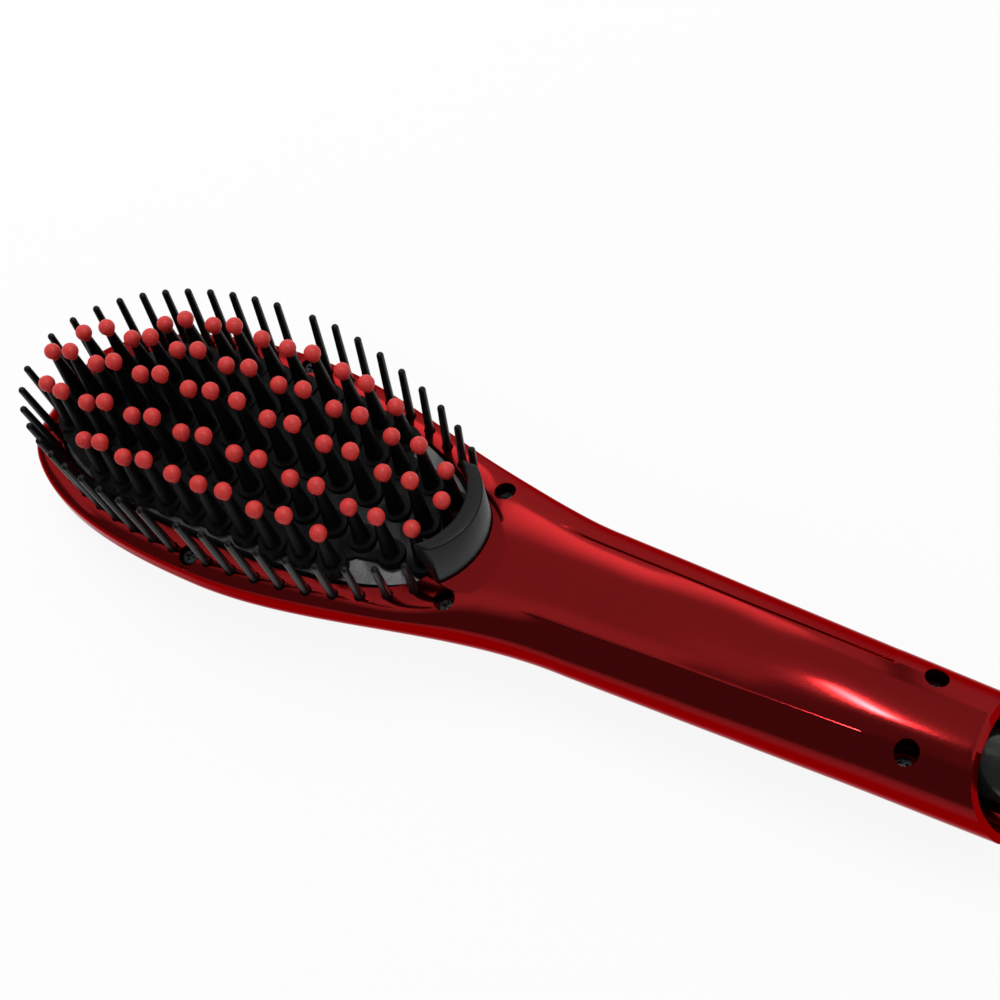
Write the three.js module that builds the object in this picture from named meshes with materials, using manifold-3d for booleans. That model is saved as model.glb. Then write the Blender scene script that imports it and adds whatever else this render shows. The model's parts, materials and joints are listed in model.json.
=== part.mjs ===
// Hair straightening brush, in millimetres. It lies on its back: bristles up (+Z), handle towards +X,
// z = 0 on the flat strip that it rests on, x = 0 near the middle of the head, symmetric about y = 0.
import * as THREE from "three";
import { mergeVertices } from "three/addons/utils/BufferGeometryUtils.js";
import Module from "manifold-3d";

const wasm = await Module();
wasm.setup();

// Shell outline seen from above
const NOSE_X = -64.5;
const HEAD_MID_X = -3;
const HEAD_HALF_WIDTH = 31.5;
const NOSE_POWER = 2.3;
const NECK_X = 86;
const NECK_HALF_WIDTH = 17;
const END_X = 172;
const END_HALF_WIDTH = 14;
// The slanted end of the handle: how far it runs past END_X at each height
const END_PROFILE = [[-1, 25.3], [0.5, 22.5], [5, 15], [9.5, 5], [11.5, -5]];

// Shell heights
const PART_Z = 11.7;
const NOSE_DROP = 8.3;
const HANDLE_RISE = 2.15;
// Heights listed at every step along X from the same place
const HEIGHTS_FROM_X = -70;
const HEIGHTS_STEP = 10;
const CROWN = [
  10, 12.7, 13.4, 14.9, 16.3, 17.4, 18.2, 18.7, 19, 18.9, 18.4, 17.5, 17.4, 20.8,
  21.9, 22.2, 22.5, 23.1, 23.5, 23.9, 24.6, 25.2, 25.6, 25.7, 25.8, 25.8, 25.9,
];
// Across the top: how square the shoulders are, and how much of the crown is a rounder hump on them
const TOP_POWERS = [
  6, 6, 6, 6, 6, 6, 6, 6, 6, 6, 6, 6, 6, 5.4,
  4.4, 3.3, 2.95, 2.8, 2.7, 2.6, 2.5, 2.4, 2.35, 2.35, 2.35, 2.35, 2.35,
];
const HUMP = [
  0, 0, 0, 0, 0, 0, 0, 0, 0, 0, 0, 0, 0, 2.2,
  1.9, 1.3, 0.6, 0.1, 0, 0, 0, 0, 0, 0, 0, 0, 0,
];
const BELLY_Z = -0.6;
const NOSE_CAP_TOP = 10.5;
const NOSE_CAP_BELLY = 34.5;
const BELLY_POWER = 2.35;
const WALL = 2;
const GAP = 0.3;

// Oval opening in the front shell, heated plate in it and the bristle pad on the plate
const OVAL_X = -2.5;
const OPENING = {
  halfWidth: HEAD_HALF_WIDTH - 7.7,
  heel: { length: 56, power: 2.5 },
  nose: { length: OVAL_X - NOSE_X - 7.8, power: 2.5 },
};
const OVAL_SIDES = 44;
const PLATE_GAP = 1;
const PLATE_BOTTOM_Z = 10.6;
const PAD_THICK = 1.5;
const POCKET = { halfLength: 36, halfWidth: 13, depth: 4.4 };
const LUG = { xs: [-9, 19], halfLength: 3, bottomZ: 9.6, topZ: 11, reachY: OPENING.halfWidth + 2.2 };
const ELEMENT_THICK = 3;
const CLAMP_THICK = 0.8;
const TRAY = { margin: 4, wall: 1.4, bottomZ: 5.4, floor: 1.2 };
const FUSE = { x: OVAL_X - 17.5, y: -5, r: 1.2, halfLength: 6 };
const THERMISTOR = { x: OVAL_X + 14.5, y: 5, r: 0.96, halfLength: 2 };

// Bristles: a staggered lattice, short and tall by turns, whose balls lie on a dome
const BALL_R = 1.95;
const NECK_R = 1.1;
const ROOT_R = 1.8;
const BOSS_R = 3.6;
const PIN_PITCH = (OPENING.nose.length + OPENING.heel.length - 4) / 15;
const ROW_PITCH = (OPENING.halfWidth - PLATE_GAP - BOSS_R) / 2;
const PIN_MID_X = OVAL_X + (OPENING.heel.length - OPENING.nose.length) / 2 - 0.4;
const PIN_LENGTH = 15.7;
const TALL_EXTRA = 2.8;
const DOME = { x: 1.3, z: 42.2, alongX: 0.0037, alongY: 0.0082 };
const ROWS = [
  { row: 0, heights: "ststststtstststs" },
  { row: 1, heights: "stststststststs" },
  { row: 2, heights: "ststsststs" },
];

// Comb: a ring of plain teeth that come up through holes in the front shell
const RING = {
  halfWidth: OPENING.halfWidth + 4,
  heel: { length: OPENING.heel.length + 3.5, power: 2.1 },
  nose: { length: OPENING.nose.length + 3.1, power: 2.1 },
};
const RING_FACE_Z = 18.2;
const RING_FACE_FALL = 0.00135;
const RING_FACE_X = 12;
const TOOTH_TIPS = [27.5, 30, 32.3, 34.6, 36.6, 38, 38.8, 39, 39, 37.2, 34.9, 33.4, 32.3, 31.5, 31];
const TOOTH_ROOT_R = 1.05;
const TOOTH_HOLE_R = 1.3;
const TOOTH_TIP_R = 0.8;
const TOOTH_SPLAY = THREE.MathUtils.degToRad(4.5);
const HEEL_TEETH = { count: 9, fromX: OVAL_X + RING.heel.length - 7.9, pitch: RING.heel.length / 9.6 };
const NOSE_TEETH = { count: 11, fromX: OVAL_X - 5.1, pitch: RING.nose.length / 9.63 };
const COMB_BAND = { outside: 1.2, inside: 3.8, thick: 1.8, below: 4 };

// Heel guard: an upright arc between the bristles and the neck
const GUARD = {
  radius: 14.8, centreX: OVAL_X + OPENING.heel.length - 8, thick: 4.3, halfWidth: 11.3, topZ: 34.3,
  pegR: 1.6, pegY: 6,
};

// Screws, as [x, y] of each well
const SCREWS = {
  head: { x: OVAL_X - 0.4, y: RING.halfWidth, wellDepth: 2.4, floor: 1.3 },
  neck: { x: OVAL_X + RING.heel.length - 0.1, y: NECK_HALF_WIDTH - 2.3, wellDepth: 5 },
  end: { x: END_X - 13.3, y: END_HALF_WIDTH - 5.4, wellDepth: 8.4 },
};
const SCREW_HEAD_R = 2;
const SCREW_HEAD_H = 1.4;
const SHANK_R = 1.2;
const SHANK_LENGTH = 8.5;
const WELL_R = 2.4;
const WELL_WALL = 1;

// Controls in the back of the handle: a bezel with a window and three push buttons
const BEZEL = { fromX: 66, toX: 140, halfWidth: 7, recess: 0.6, thick: 2.4, flange: 1.8 };
const WINDOW = { x: 82, halfLength: 12.5, halfWidth: 5.5, thick: 1.5, recess: 0.1 };
const BUTTON_X = { power: 104, plus: 117, minus: 130 };
const BUTTON_R = 4.2;
const BUTTON_FLANGE = { r: 5.2, thick: 0.8 };
const BUTTON_TRAVEL = 0.8;
const SWITCH = { side: 6, height: 3.6, plungerR: 1.5, plungerOut: 0.9 };
const BOARD = { fromX: 68, toX: 139, halfWidth: 10.5, z: 10, thick: 1.6 };
const LEDGE = { xs: [74, 133], halfLength: 2, fromY: 9.3 };

// Cord swivel in the end of the handle
const SWIVEL = { spindleR: 3.6, fromX: 141, boreR: 2.2, domeR: 7.2, tipX: 184, tipR: 4.4 };
const BULKHEAD = { fromX: 165.6, thick: 2.4 };
const BUSH = { hubR: 5.6, flangeR: 6.8, flange: 1 };
const CLIP = { grooveR: 3, outerR: 5.6, thick: 1.2, mouth: 3.4 };
const CONTACT = { ringR: 4.9, ringLength: 2.4, xs: { live: 150.5, neutral: 145.5 } };
const LEAF = { thick: 0.5, footY: -6 };
const CARRIER = { fromX: 143, toX: 153, fromY: -8, footY: -5.6, toY: -4.2, bottomZ: 4, topZ: 7.2 };
const LEAD_R = 0.8;

const mix = THREE.MathUtils.lerp;
const clamp = THREE.MathUtils.clamp;
const smooth = (t) => THREE.MathUtils.smoothstep(t, 0, 1);
const round = (value, power) => Math.pow(Math.max(0, 1 - Math.pow(Math.abs(value), power)), 1 / power);

// Turns a closed three.js geometry into a solid for cutting and joining.
function solid(geometry) {
  const plain = geometry.clone();
  for (const name of Object.keys(plain.attributes)) if (name !== "position") plain.deleteAttribute(name);
  const merged = mergeVertices(plain, 1e-4);
  const vertProperties = new Float32Array(merged.attributes.position.array);
  const triVerts = new Uint32Array(merged.index.array);
  return new wasm.Manifold(new wasm.Mesh({ numProp: 3, vertProperties, triVerts }));
}

// Turns a solid back into a geometry with flat-shaded faces.
function geometryOf(body) {
  const { vertProperties, triVerts } = body.getMesh();
  const geometry = new THREE.BufferGeometry();
  geometry.setAttribute("position", new THREE.BufferAttribute(new Float32Array(vertProperties), 3));
  geometry.setIndex(new THREE.BufferAttribute(new Uint32Array(triVerts), 1));
  const flat = geometry.toNonIndexed();
  flat.computeVertexNormals();
  return flat;
}

const join = (bodies) => bodies.reduce((sum, body) => sum.add(body));
const cut = (body, tools) => tools.reduce((rest, tool) => rest.subtract(tool), body);

function box([x0, y0, z0], [x1, y1, z1]) {
  const geometry = new THREE.BoxGeometry(x1 - x0, y1 - y0, z1 - z0);
  return solid(geometry.translate((x0 + x1) / 2, (y0 + y1) / 2, (z0 + z1) / 2));
}

// A round body about a vertical line: profile holds [radius, z] from the bottom of the axis to its top.
function turnedZ(profile, x, y, sides) {
  const points = profile.map(([r, z]) => new THREE.Vector2(r, z));
  return solid(new THREE.LatheGeometry(points, sides).rotateX(Math.PI / 2).translate(x, y, 0));
}

// A round body about a line along X at height z: profile holds [radius, x].
function turnedX(profile, z, sides) {
  const points = profile.map(([r, x]) => new THREE.Vector2(r, x));
  return solid(new THREE.LatheGeometry(points, sides).rotateZ(-Math.PI / 2).translate(0, 0, z));
}

const rod = (r, z0, z1, x, y, sides = 16) => turnedZ([[0, z0], [r, z0], [r, z1], [0, z1]], x, y, sides);
const rodX = (r, x0, x1, z, sides = 24) => turnedX([[0, x0], [r, x0], [r, x1], [0, x1]], z, sides);

// An outline of [x, y] points raised from z0 to z1.
function prismZ(outline, z0, z1) {
  const shape = new THREE.Shape(outline.map(([x, y]) => new THREE.Vector2(x, y)));
  const geometry = new THREE.ExtrudeGeometry(shape, { depth: z1 - z0, bevelEnabled: false });
  return solid(geometry.translate(0, 0, z0));
}

// A side profile of [x, z] points made halfWidth wide to both sides.
function prismY(profile, halfWidth) {
  const shape = new THREE.Shape(profile.map(([x, z]) => new THREE.Vector2(x, z)));
  const geometry = new THREE.ExtrudeGeometry(shape, { depth: 2 * halfWidth, bevelEnabled: false });
  return solid(geometry.rotateX(Math.PI / 2).translate(0, halfWidth, 0));
}

// A closed skin through rings of equally many points, with a flat fan at each end.
function loft(rings) {
  const count = rings[0].length;
  const points = rings.flat();
  const centre = (ring) => ring.reduce((sum, p) => sum.add(p), new THREE.Vector3()).divideScalar(count);
  points.push(centre(rings[0]), centre(rings[rings.length - 1]));
  const index = [];
  const last = (rings.length - 1) * count;
  for (let i = 0; i < count; i++) {
    const j = (i + 1) % count;
    for (let k = 0; k < last; k += count) {
      index.push(k + i, k + j, k + count + j, k + i, k + count + j, k + count + i);
    }
    index.push(points.length - 2, j, i, points.length - 1, last + i, last + j);
  }
  return solid(new THREE.BufferGeometry().setFromPoints(points).setIndex(index));
}

// A body between a flat floor and a curved roof over a rectangle.
function underRoof(roof, [x0, x1], [y0, y1], floorZ, columns, rowCount) {
  const rings = Array.from({ length: columns + 1 }, (_, i) => {
    const x = mix(x0, x1, i / columns);
    const ring = [];
    for (let j = 0; j <= rowCount; j++) {
      const y = mix(y0, y1, j / rowCount);
      ring.push(new THREE.Vector3(x, y, roof(x, y)));
    }
    ring.push(new THREE.Vector3(x, y1, floorZ), new THREE.Vector3(x, y0, floorZ));
    return ring;
  });
  return loft(rings.map((ring) => ring.reverse()));
}

// Outline and heights of the shell at a station x
function halfWidth(x) {
  if (x < HEAD_MID_X) return HEAD_HALF_WIDTH * round((HEAD_MID_X - x) / (HEAD_MID_X - NOSE_X), NOSE_POWER);
  if (x < NECK_X) {
    return mix(HEAD_HALF_WIDTH, NECK_HALF_WIDTH, smooth((x - HEAD_MID_X) / (NECK_X - HEAD_MID_X)));
  }
  return mix(NECK_HALF_WIDTH, END_HALF_WIDTH, (x - NECK_X) / (END_X - NECK_X));
}

const partZ = (x) => (x < 0 ? PART_Z - NOSE_DROP * (x / NOSE_X) ** 2 : PART_Z + HANDLE_RISE * (x / END_X));

// Smooth curve through a list of heights
function heightAt(heights, x) {
  const along = (x - HEIGHTS_FROM_X) / HEIGHTS_STEP;
  const i = clamp(Math.floor(along), 1, heights.length - 3);
  const t = along - i;
  const [a, b, c, d] = heights.slice(i - 1, i + 3);
  const bend = 2 * a - 5 * b + 4 * c - d + t * (3 * (b - c) + d - a);
  return b + 0.5 * t * (c - a + t * bend);
}

const toothTipZ = (x) => heightAt(TOOTH_TIPS, x);

// The top half of the section at a station: a flat arch with square shoulders and a hump on it
function topSection(x) {
  const hump = Math.max(0, heightAt(HUMP, x));
  return { arch: heightAt(CROWN, x) - partZ(x) - hump, hump, power: heightAt(TOP_POWERS, x) };
}

// How far the skin is drawn in towards the nose: 1 over the head, 0 at its tip
const noseCap = (x, length, power) => round(clamp((NOSE_X + length - x) / length, 0, 1), power);

// The ring of the skin at a station, inset by a wall
function skinRing(x, inset, sides) {
  const outerX = NOSE_X + ((x - NOSE_X - inset) * (END_X - NOSE_X)) / (END_X - NOSE_X - inset);
  const width = halfWidth(inset ? outerX : x) - inset;
  const { arch, hump, power: topPower } = topSection(x);
  const cap = noseCap(outerX, NOSE_CAP_TOP, 2);
  const top = arch * cap - inset;
  const belly = (partZ(x) - BELLY_Z) * noseCap(outerX, NOSE_CAP_BELLY, 2.5) - inset;
  const ring = [];
  for (let i = 0; i < sides; i++) {
    const angle = (2 * Math.PI * i) / sides;
    const power = angle <= Math.PI ? topPower : BELLY_POWER;
    const c = Math.cos(angle);
    const s = Math.sin(angle);
    const across = Math.sign(c) * Math.pow(Math.abs(c), 2 / power);
    const height = Math.max(s > 0 ? top : belly, 0.05) * Math.sign(s) * Math.pow(Math.abs(s), 2 / power);
    const raised = s > 0 ? hump * cap * (1 - across * across) : 0;
    ring.push(new THREE.Vector3(x, Math.max(width, 0.05) * across, partZ(x) + height + raised));
  }
  return ring;
}

// Stations of the skin, closer where the nose turns in and where the crown steps up to the handle
const STATIONS = [
  -64, -63, -61.4, -59, -55.5, -50.5, -44, -36, -26, -15, -4, 8, 20, 31, 41, 47, 51, 54.5, 58, 62,
  68, 76, 86, 104, 128, 152, 170,
];

// The whole skin, inset by a wall, through every station or every few of them
function skin(inset, sides, every) {
  const inside = STATIONS.filter((x, i) => x > NOSE_X + inset + 0.4 && i % every === 0);
  const xs = [NOSE_X + inset, ...inside, END_X + 18];
  return loft(xs.map((x) => skinRing(x, inset, sides)));
}

const outerSkin = skin(0, 24, 1);
const innerSkin = skin(WALL, 16, 2);

// Everything above, or below, the parting line, which is curved along the part
function beyondParting(side, gap) {
  const profile = [];
  for (let x = NOSE_X - 5; x <= END_X + 30; x += 6) profile.push([x, partZ(x) + side * gap]);
  const far = side > 0 ? 80 : -40;
  profile.push([profile[profile.length - 1][0], far], [profile[0][0], far]);
  return prismY(profile, 60);
}

// Everything past the slanted end of the handle
const endLine = END_PROFILE.map(([past, z]) => [END_X + past, z]);
const endCut = prismY([[endLine[0][0], 40], ...endLine, [END_X + 40, -5], [END_X + 40, 40]], 60);

// Points of an oval with its own heel and nose halves, from the heel round by +Y
function oval({ halfWidth: across, heel, nose }, grow, sides) {
  return Array.from({ length: sides }, (_, i) => {
    const angle = (2 * Math.PI * i) / sides;
    const c = Math.cos(angle);
    const s = Math.sin(angle);
    const { length, power } = c > 0 ? heel : nose;
    return [
      OVAL_X + (length + grow) * Math.sign(c) * Math.pow(Math.abs(c), 2 / power),
      (across + grow) * Math.sign(s) * Math.pow(Math.abs(s), 2 / power),
    ];
  });
}

const openingOval = (grow) => oval(OPENING, grow, OVAL_SIDES);

const ballZ = (x, y) => DOME.z - DOME.alongX * (x - DOME.x) ** 2 - DOME.alongY * y * y;
const padZ = (x, y) => ballZ(x, y) - PIN_LENGTH;
const plateZ = (x, y) => padZ(x, y) - PAD_THICK - GAP;
const ringFaceZ = (x) => RING_FACE_Z - RING_FACE_FALL * (x - RING_FACE_X) ** 2;

// Feet of the teeth on the +Y half of the comb, stepped along its oval by arc length
function halfRingFeet() {
  const ringY = (x) => {
    const { length, power } = x < OVAL_X ? RING.nose : RING.heel;
    return RING.halfWidth * round((x - OVAL_X) / length, power);
  };
  const walk = ({ count, fromX, pitch }) => {
    const feet = [];
    let x = fromX;
    for (let tooth = 0; tooth < count; tooth++) {
      feet.push([x, ringY(x)]);
      const [footX, footY] = feet[tooth];
      while (Math.hypot(x - footX, ringY(x) - footY) < pitch && x > OVAL_X - RING.nose.length) x -= 0.01;
    }
    return feet;
  };
  return [...walk(HEEL_TEETH), ...walk(NOSE_TEETH)];
}

const halfFeet = halfRingFeet();
const toothFeet = [...halfFeet, ...halfFeet.map(([x, y]) => [x, -y])];

// Places of the screws. At the head the comb lies between the front shell's floor and the back shell's
// boss; elsewhere floor and boss meet at the parting line.
const screwPlaces = [];
for (const [where, { x, y, wellDepth, floor }] of Object.entries(SCREWS)) {
  const atHead = where === "head";
  const floorTop = (atHead ? ringFaceZ(x) : wellSurfaceZ(x, y)) - wellDepth;
  const floorBottom = atHead ? floorTop - floor : 0;
  const bossTop = atHead ? ringFaceZ(x) - COMB_BAND.below - COMB_BAND.thick - GAP : 40;
  for (const [side, sign] of [["far", 1], ["near", -1]]) {
    screwPlaces.push({ name: `screw_${where}_${side}`, x, y: sign * y, floorTop, floorBottom, bossTop });
  }
}

// Height of the front shell at a place
function wellSurfaceZ(x, y) {
  const { arch, hump, power } = topSection(x);
  const across = y / halfWidth(x);
  return partZ(x) + arch * round(across, power) + hump * (1 - across * across);
}

// Outline of the controls bezel: a long slot shape with round ends
function slotOutline(fromX, toX, halfAcross, sides) {
  const points = [];
  for (let i = 0; i <= sides; i++) {
    const angle = -Math.PI / 2 + (Math.PI * i) / sides;
    points.push([toX - halfAcross + halfAcross * Math.cos(angle), halfAcross * Math.sin(angle)]);
  }
  for (let i = 0; i <= sides; i++) {
    const angle = Math.PI / 2 + (Math.PI * i) / sides;
    points.push([fromX + halfAcross + halfAcross * Math.cos(angle), halfAcross * Math.sin(angle)]);
  }
  return points;
}

const bezelOutline = (grow) =>
  slotOutline(BEZEL.fromX - grow, BEZEL.toX + grow, BEZEL.halfWidth + grow, 6);
const bezelBottomZ = BEZEL.recess;
const bezelTopZ = bezelBottomZ + BEZEL.thick;
const switchTopZ = BOARD.z - GAP;
const switchBottomZ = switchTopZ - SWITCH.height;
const plungerBottomZ = switchBottomZ - SWITCH.plungerOut;
const swivelZ = partZ(END_X);
const bushFromX = BULKHEAD.fromX - GAP - BUSH.flange;
const bushToX = BULKHEAD.fromX + BULKHEAD.thick + GAP + BUSH.flange;

// The wall across the end of the handle that carries the swivel's bush
function bulkhead() {
  const { fromX, thick } = BULKHEAD;
  const wall = box([fromX, -40, -10], [fromX + thick, 40, 40]).intersect(outerSkin);
  return cut(wall, [rodX(BUSH.hubR + GAP, fromX - 1, fromX + thick + 1, swivelZ)]);
}

// Ledges along both side walls, between two heights, that hold the edges of the board
function boardLedges(z0, z1) {
  return LEDGE.xs.flatMap((x) =>
    [[LEDGE.fromY, 40], [-40, -LEDGE.fromY]].map(([y0, y1]) =>
      box([x - LEDGE.halfLength, y0, z0], [x + LEDGE.halfLength, y1, z1]).intersect(outerSkin),
    ),
  );
}

function makeFrontShell() {
  const wells = screwPlaces.map(({ x, y, floorTop, floorBottom }) =>
    rod(WELL_R + WELL_WALL, floorBottom, floorTop + 20, x, y, 12).intersect(outerSkin),
  );
  const ledges = boardLedges(BOARD.z + BOARD.thick + GAP, 40);
  const hollow = outerSkin.subtract(innerSkin);
  const shell = join([hollow, ...wells, ...ledges, bulkhead()]).intersect(beyondParting(1, GAP / 2));
  const holes = [
    prismZ(openingOval(0), PART_Z - 30, 60),
    ...toothFeet.map(([x, y]) => rod(TOOTH_HOLE_R, 0, 60, x, y, 6)),
    ...screwPlaces.map(({ x, y, floorTop }) => rod(WELL_R, floorTop, 60, x, y, 12)),
    ...screwPlaces.map(({ x, y, floorTop }) => rod(SHANK_R + GAP, floorTop - 20, floorTop + 1, x, y, 8)),
    ...guardPegs(GAP),
    endCut,
  ];
  return cut(shell, holes);
}

function makeBackShell() {
  const bosses = screwPlaces.map(({ x, y, bossTop }) =>
    rod(WELL_R + WELL_WALL, -5, bossTop, x, y, 12).intersect(outerSkin),
  );
  const posts = [...platePosts(), ...boardLedges(-5, BOARD.z - GAP)];
  const deck = box([BEZEL.fromX - 4, -BEZEL.halfWidth - 3, -2], [BEZEL.toX + 4, BEZEL.halfWidth + 3, WALL]);
  const hollow = outerSkin.subtract(innerSkin);
  const shell = join([hollow, bulkhead(), deck.intersect(outerSkin), ...bosses, ...posts])
    .intersect(beyondParting(-1, GAP / 2));
  return cut(shell, [
    prismZ(bezelOutline(GAP), -5, 20),
    prismZ(bezelOutline(BEZEL.flange + GAP), WALL, 20),
    ...screwPlaces.map(({ x, y, floorTop }) =>
      rod(SHANK_R + GAP, floorTop - SHANK_LENGTH - GAP, 40, x, y, 8),
    ),
    box([NOSE_X - 10, -60, -20], [END_X + 40, 60, 0]),
    endCut,
  ]);
}

// Posts under the lugs of the heated plate and under the corners of its tray
function platePosts() {
  const { halfLength, halfWidth: across } = POCKET;
  const cornerXs = [OVAL_X - halfLength + 4, OVAL_X + halfLength - 4];
  const corners = cornerXs.map((x) => [x, across - 2, TRAY.bottomZ]);
  const lugs = LUG.xs.map((x) => [x, LUG.reachY - 2, LUG.bottomZ]);
  return [...corners, ...lugs].flatMap(([x, y, z]) =>
    [y, -y].map((side) => rod(1.8, -5, z - GAP, x, side, 10).intersect(outerSkin)),
  );
}

function guardPegs(gap) {
  const pegX = GUARD.centreX + Math.sqrt(GUARD.radius ** 2 - GUARD.pegY ** 2) - GUARD.thick / 2;
  const base = wellSurfaceZ(pegX, GUARD.pegY);
  return [GUARD.pegY, -GUARD.pegY].map((y) => rod(GUARD.pegR + gap, base - WALL - 1, base + 5, pegX, y, 10));
}

function makeHeelGuard() {
  const reach = Math.asin(GUARD.halfWidth / GUARD.radius);
  const outline = [];
  for (let i = 0; i <= 14; i++) {
    const angle = mix(-reach, reach, i / 14);
    outline.push([GUARD.centreX + GUARD.radius * Math.cos(angle), GUARD.radius * Math.sin(angle)]);
  }
  for (let i = 14; i >= 0; i--) outline.push([outline[i][0] - GUARD.thick, outline[i][1]]);
  const wall = prismZ(outline, PART_Z, GUARD.topZ);
  const clear = outerSkin.add(outerSkin.translate([0, 0, GAP]));
  return cut(wall, [clear]).add(join(guardPegs(0)));
}

// Spans of the blocks that the comb, pad and plate are cut from
const HEAD_ACROSS = [-HEAD_HALF_WIDTH - 1, HEAD_HALF_WIDTH + 1];
const OPENING_ALONG = [OVAL_X - OPENING.nose.length - 5, OVAL_X + OPENING.heel.length + 5];
const OPENING_ACROSS = [-OPENING.halfWidth - 2, OPENING.halfWidth + 2];

function makeComb() {
  const ring = (grow) => oval(RING, grow, OVAL_SIDES);
  const slab = (below) =>
    underRoof((x) => ringFaceZ(x) - COMB_BAND.below - below, [NOSE_X, NECK_X], HEAD_ACROSS, -30, 20, 1);
  const band = cut(slab(0), [slab(COMB_BAND.thick)])
    .intersect(prismZ(ring(COMB_BAND.outside), -10, 60))
    .subtract(prismZ(ring(-COMB_BAND.inside), -20, 70))
    .subtract(prismZ(openingOval(-GAP), -20, 70))
    .intersect(skin(WALL + GAP, 16, 2));
  const teeth = toothFeet.map(([x, y]) => {
    const footZ = ringFaceZ(x) - COMB_BAND.below - COMB_BAND.thick / 2;
    const length = toothTipZ(x) - footZ;
    const slope = [(x - OVAL_X) / RING.nose.length ** 2, y / RING.halfWidth ** 2];
    const outward = new THREE.Vector2(...slope).normalize();
    const profile = [
      [0, 0], [TOOTH_ROOT_R, 0], [TOOTH_TIP_R, length - TOOTH_TIP_R], [0, length],
    ].map(([r, z]) => new THREE.Vector2(r, z));
    const tooth = new THREE.LatheGeometry(profile, 6).rotateX(Math.PI / 2);
    const lean = new THREE.Vector3(Math.sin(TOOTH_SPLAY) * outward.x, Math.sin(TOOTH_SPLAY) * outward.y, 1);
    const turn = new THREE.Quaternion().setFromUnitVectors(new THREE.Vector3(0, 0, 1), lean.normalize());
    const rise = (ringFaceZ(x) - footZ) * Math.sin(TOOTH_SPLAY);
    tooth.applyQuaternion(turn).translate(x - rise * outward.x, y - rise * outward.y, footZ);
    return solid(tooth);
  });
  const shanks = screwPlaces.map(({ x, y }) => rod(SHANK_R + GAP, -10, 40, x, y, 8));
  return cut(join([band, ...teeth]), shanks);
}

// Places of all bristles, with the tall ones marked
const pins = [];
for (const { row, heights } of ROWS) {
  for (const side of row ? [1, -1] : [1]) {
    [...heights].forEach((height, i) => {
      const x = PIN_MID_X + (i - (heights.length - 1) / 2) * PIN_PITCH;
      pins.push({ x, y: side * row * ROW_PITCH, tall: height === "t" });
    });
  }
}

function makePinPad() {
  const rowEnd = (index) => ((ROWS[index].heights.length - 1) / 2) * PIN_PITCH;
  const corners = [
    [rowEnd(0), 0],
    [rowEnd(1), ROW_PITCH],
    [rowEnd(2) + PIN_PITCH / 2, ROW_PITCH],
    [rowEnd(2), 2 * ROW_PITCH],
  ];
  const sheetOutline = [
    ...corners.map(([x, y]) => [PIN_MID_X + x, y]),
    ...corners.toReversed().map(([x, y]) => [PIN_MID_X - x, y]),
    ...corners.slice(1).map(([x, y]) => [PIN_MID_X - x, -y]),
    ...corners.slice(1).toReversed().map(([x, y]) => [PIN_MID_X + x, -y]),
  ].filter(([x, y], i, all) => i === 0 || Math.hypot(x - all[i - 1][0], y - all[i - 1][1]) > 0.01);
  const plan = join([
    prismZ(sheetOutline, 0, 60),
    ...pins.map(({ x, y }) => rod(BOSS_R, 0, 60, x, y, 8)),
  ]).intersect(prismZ(openingOval(-GAP), 0, 60));
  const slab = (drop) =>
    underRoof((x, y) => padZ(x, y) - drop, OPENING_ALONG, OPENING_ACROSS, -20, 7, 4);
  const sheet = cut(slab(0), [slab(PAD_THICK)]).intersect(plan);
  const bristles = pins.map(({ x, y, tall }) => {
    const ball = ballZ(x, y) + (tall ? TALL_EXTRA : 0);
    return turnedZ(
      [
        [0, padZ(x, y) - PAD_THICK / 2], [ROOT_R, padZ(x, y) - PAD_THICK / 2], [NECK_R, ball - 1.6],
        [BALL_R, ball - 0.4], [BALL_R * 0.8, ball + 1.1], [0, ball + BALL_R],
      ],
      x, y, 6,
    );
  });
  return join([sheet, ...bristles]);
}

function makeHeaterPlate() {
  const body = underRoof(plateZ, OPENING_ALONG, OPENING_ACROSS, PLATE_BOTTOM_Z, 10, 4)
    .intersect(prismZ(openingOval(-PLATE_GAP), 0, 60));
  const fromY = OPENING.halfWidth - 6;
  const lugs = LUG.xs.flatMap((x) =>
    [[fromY, LUG.reachY], [-LUG.reachY, -fromY]].map(([y0, y1]) =>
      box([x - LUG.halfLength, y0, LUG.bottomZ], [x + LUG.halfLength, y1, LUG.topZ]),
    ),
  );
  const pocket = pocketBlock(POCKET.halfLength, POCKET.halfWidth, 0, PLATE_BOTTOM_Z + POCKET.depth);
  return join([body, ...lugs]).subtract(pocket);
}

const elementTopZ = PLATE_BOTTOM_Z + POCKET.depth - GAP;
const clampTopZ = elementTopZ - ELEMENT_THICK - GAP;

// A block centred over the pocket, by half length, half width and two heights
const pocketBlock = (length, across, z0, z1) =>
  box([OVAL_X - length, -across, z0], [OVAL_X + length, across, z1]);

// The ceramic element, grooved across where its winding turns
function makeHeaterElement() {
  const length = POCKET.halfLength - 1.5;
  const across = POCKET.halfWidth - 1.5;
  const pack = pocketBlock(length, across, elementTopZ - ELEMENT_THICK, elementTopZ);
  const grooves = [-2, -1, 0, 1, 2].map((step) => {
    const x = OVAL_X + (step * length) / 2.7;
    return box([x - 0.4, -across - 1, 0], [x + 0.4, across + 1, elementTopZ - ELEMENT_THICK + 0.6]);
  });
  return cut(pack, grooves);
}

// The sheet that holds the element up against the plate, stiffened along both edges
function makeElementClamp() {
  const length = POCKET.halfLength - 0.6;
  const across = POCKET.halfWidth - 0.6;
  const sheet = pocketBlock(length, across, clampTopZ - CLAMP_THICK, clampTopZ);
  const rib = pocketBlock(length - 4, 1.5, clampTopZ - 2 * CLAMP_THICK, clampTopZ);
  return join([sheet, rib.translate([0, across - 3, 0]), rib.translate([0, 3 - across, 0])]);
}

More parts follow.
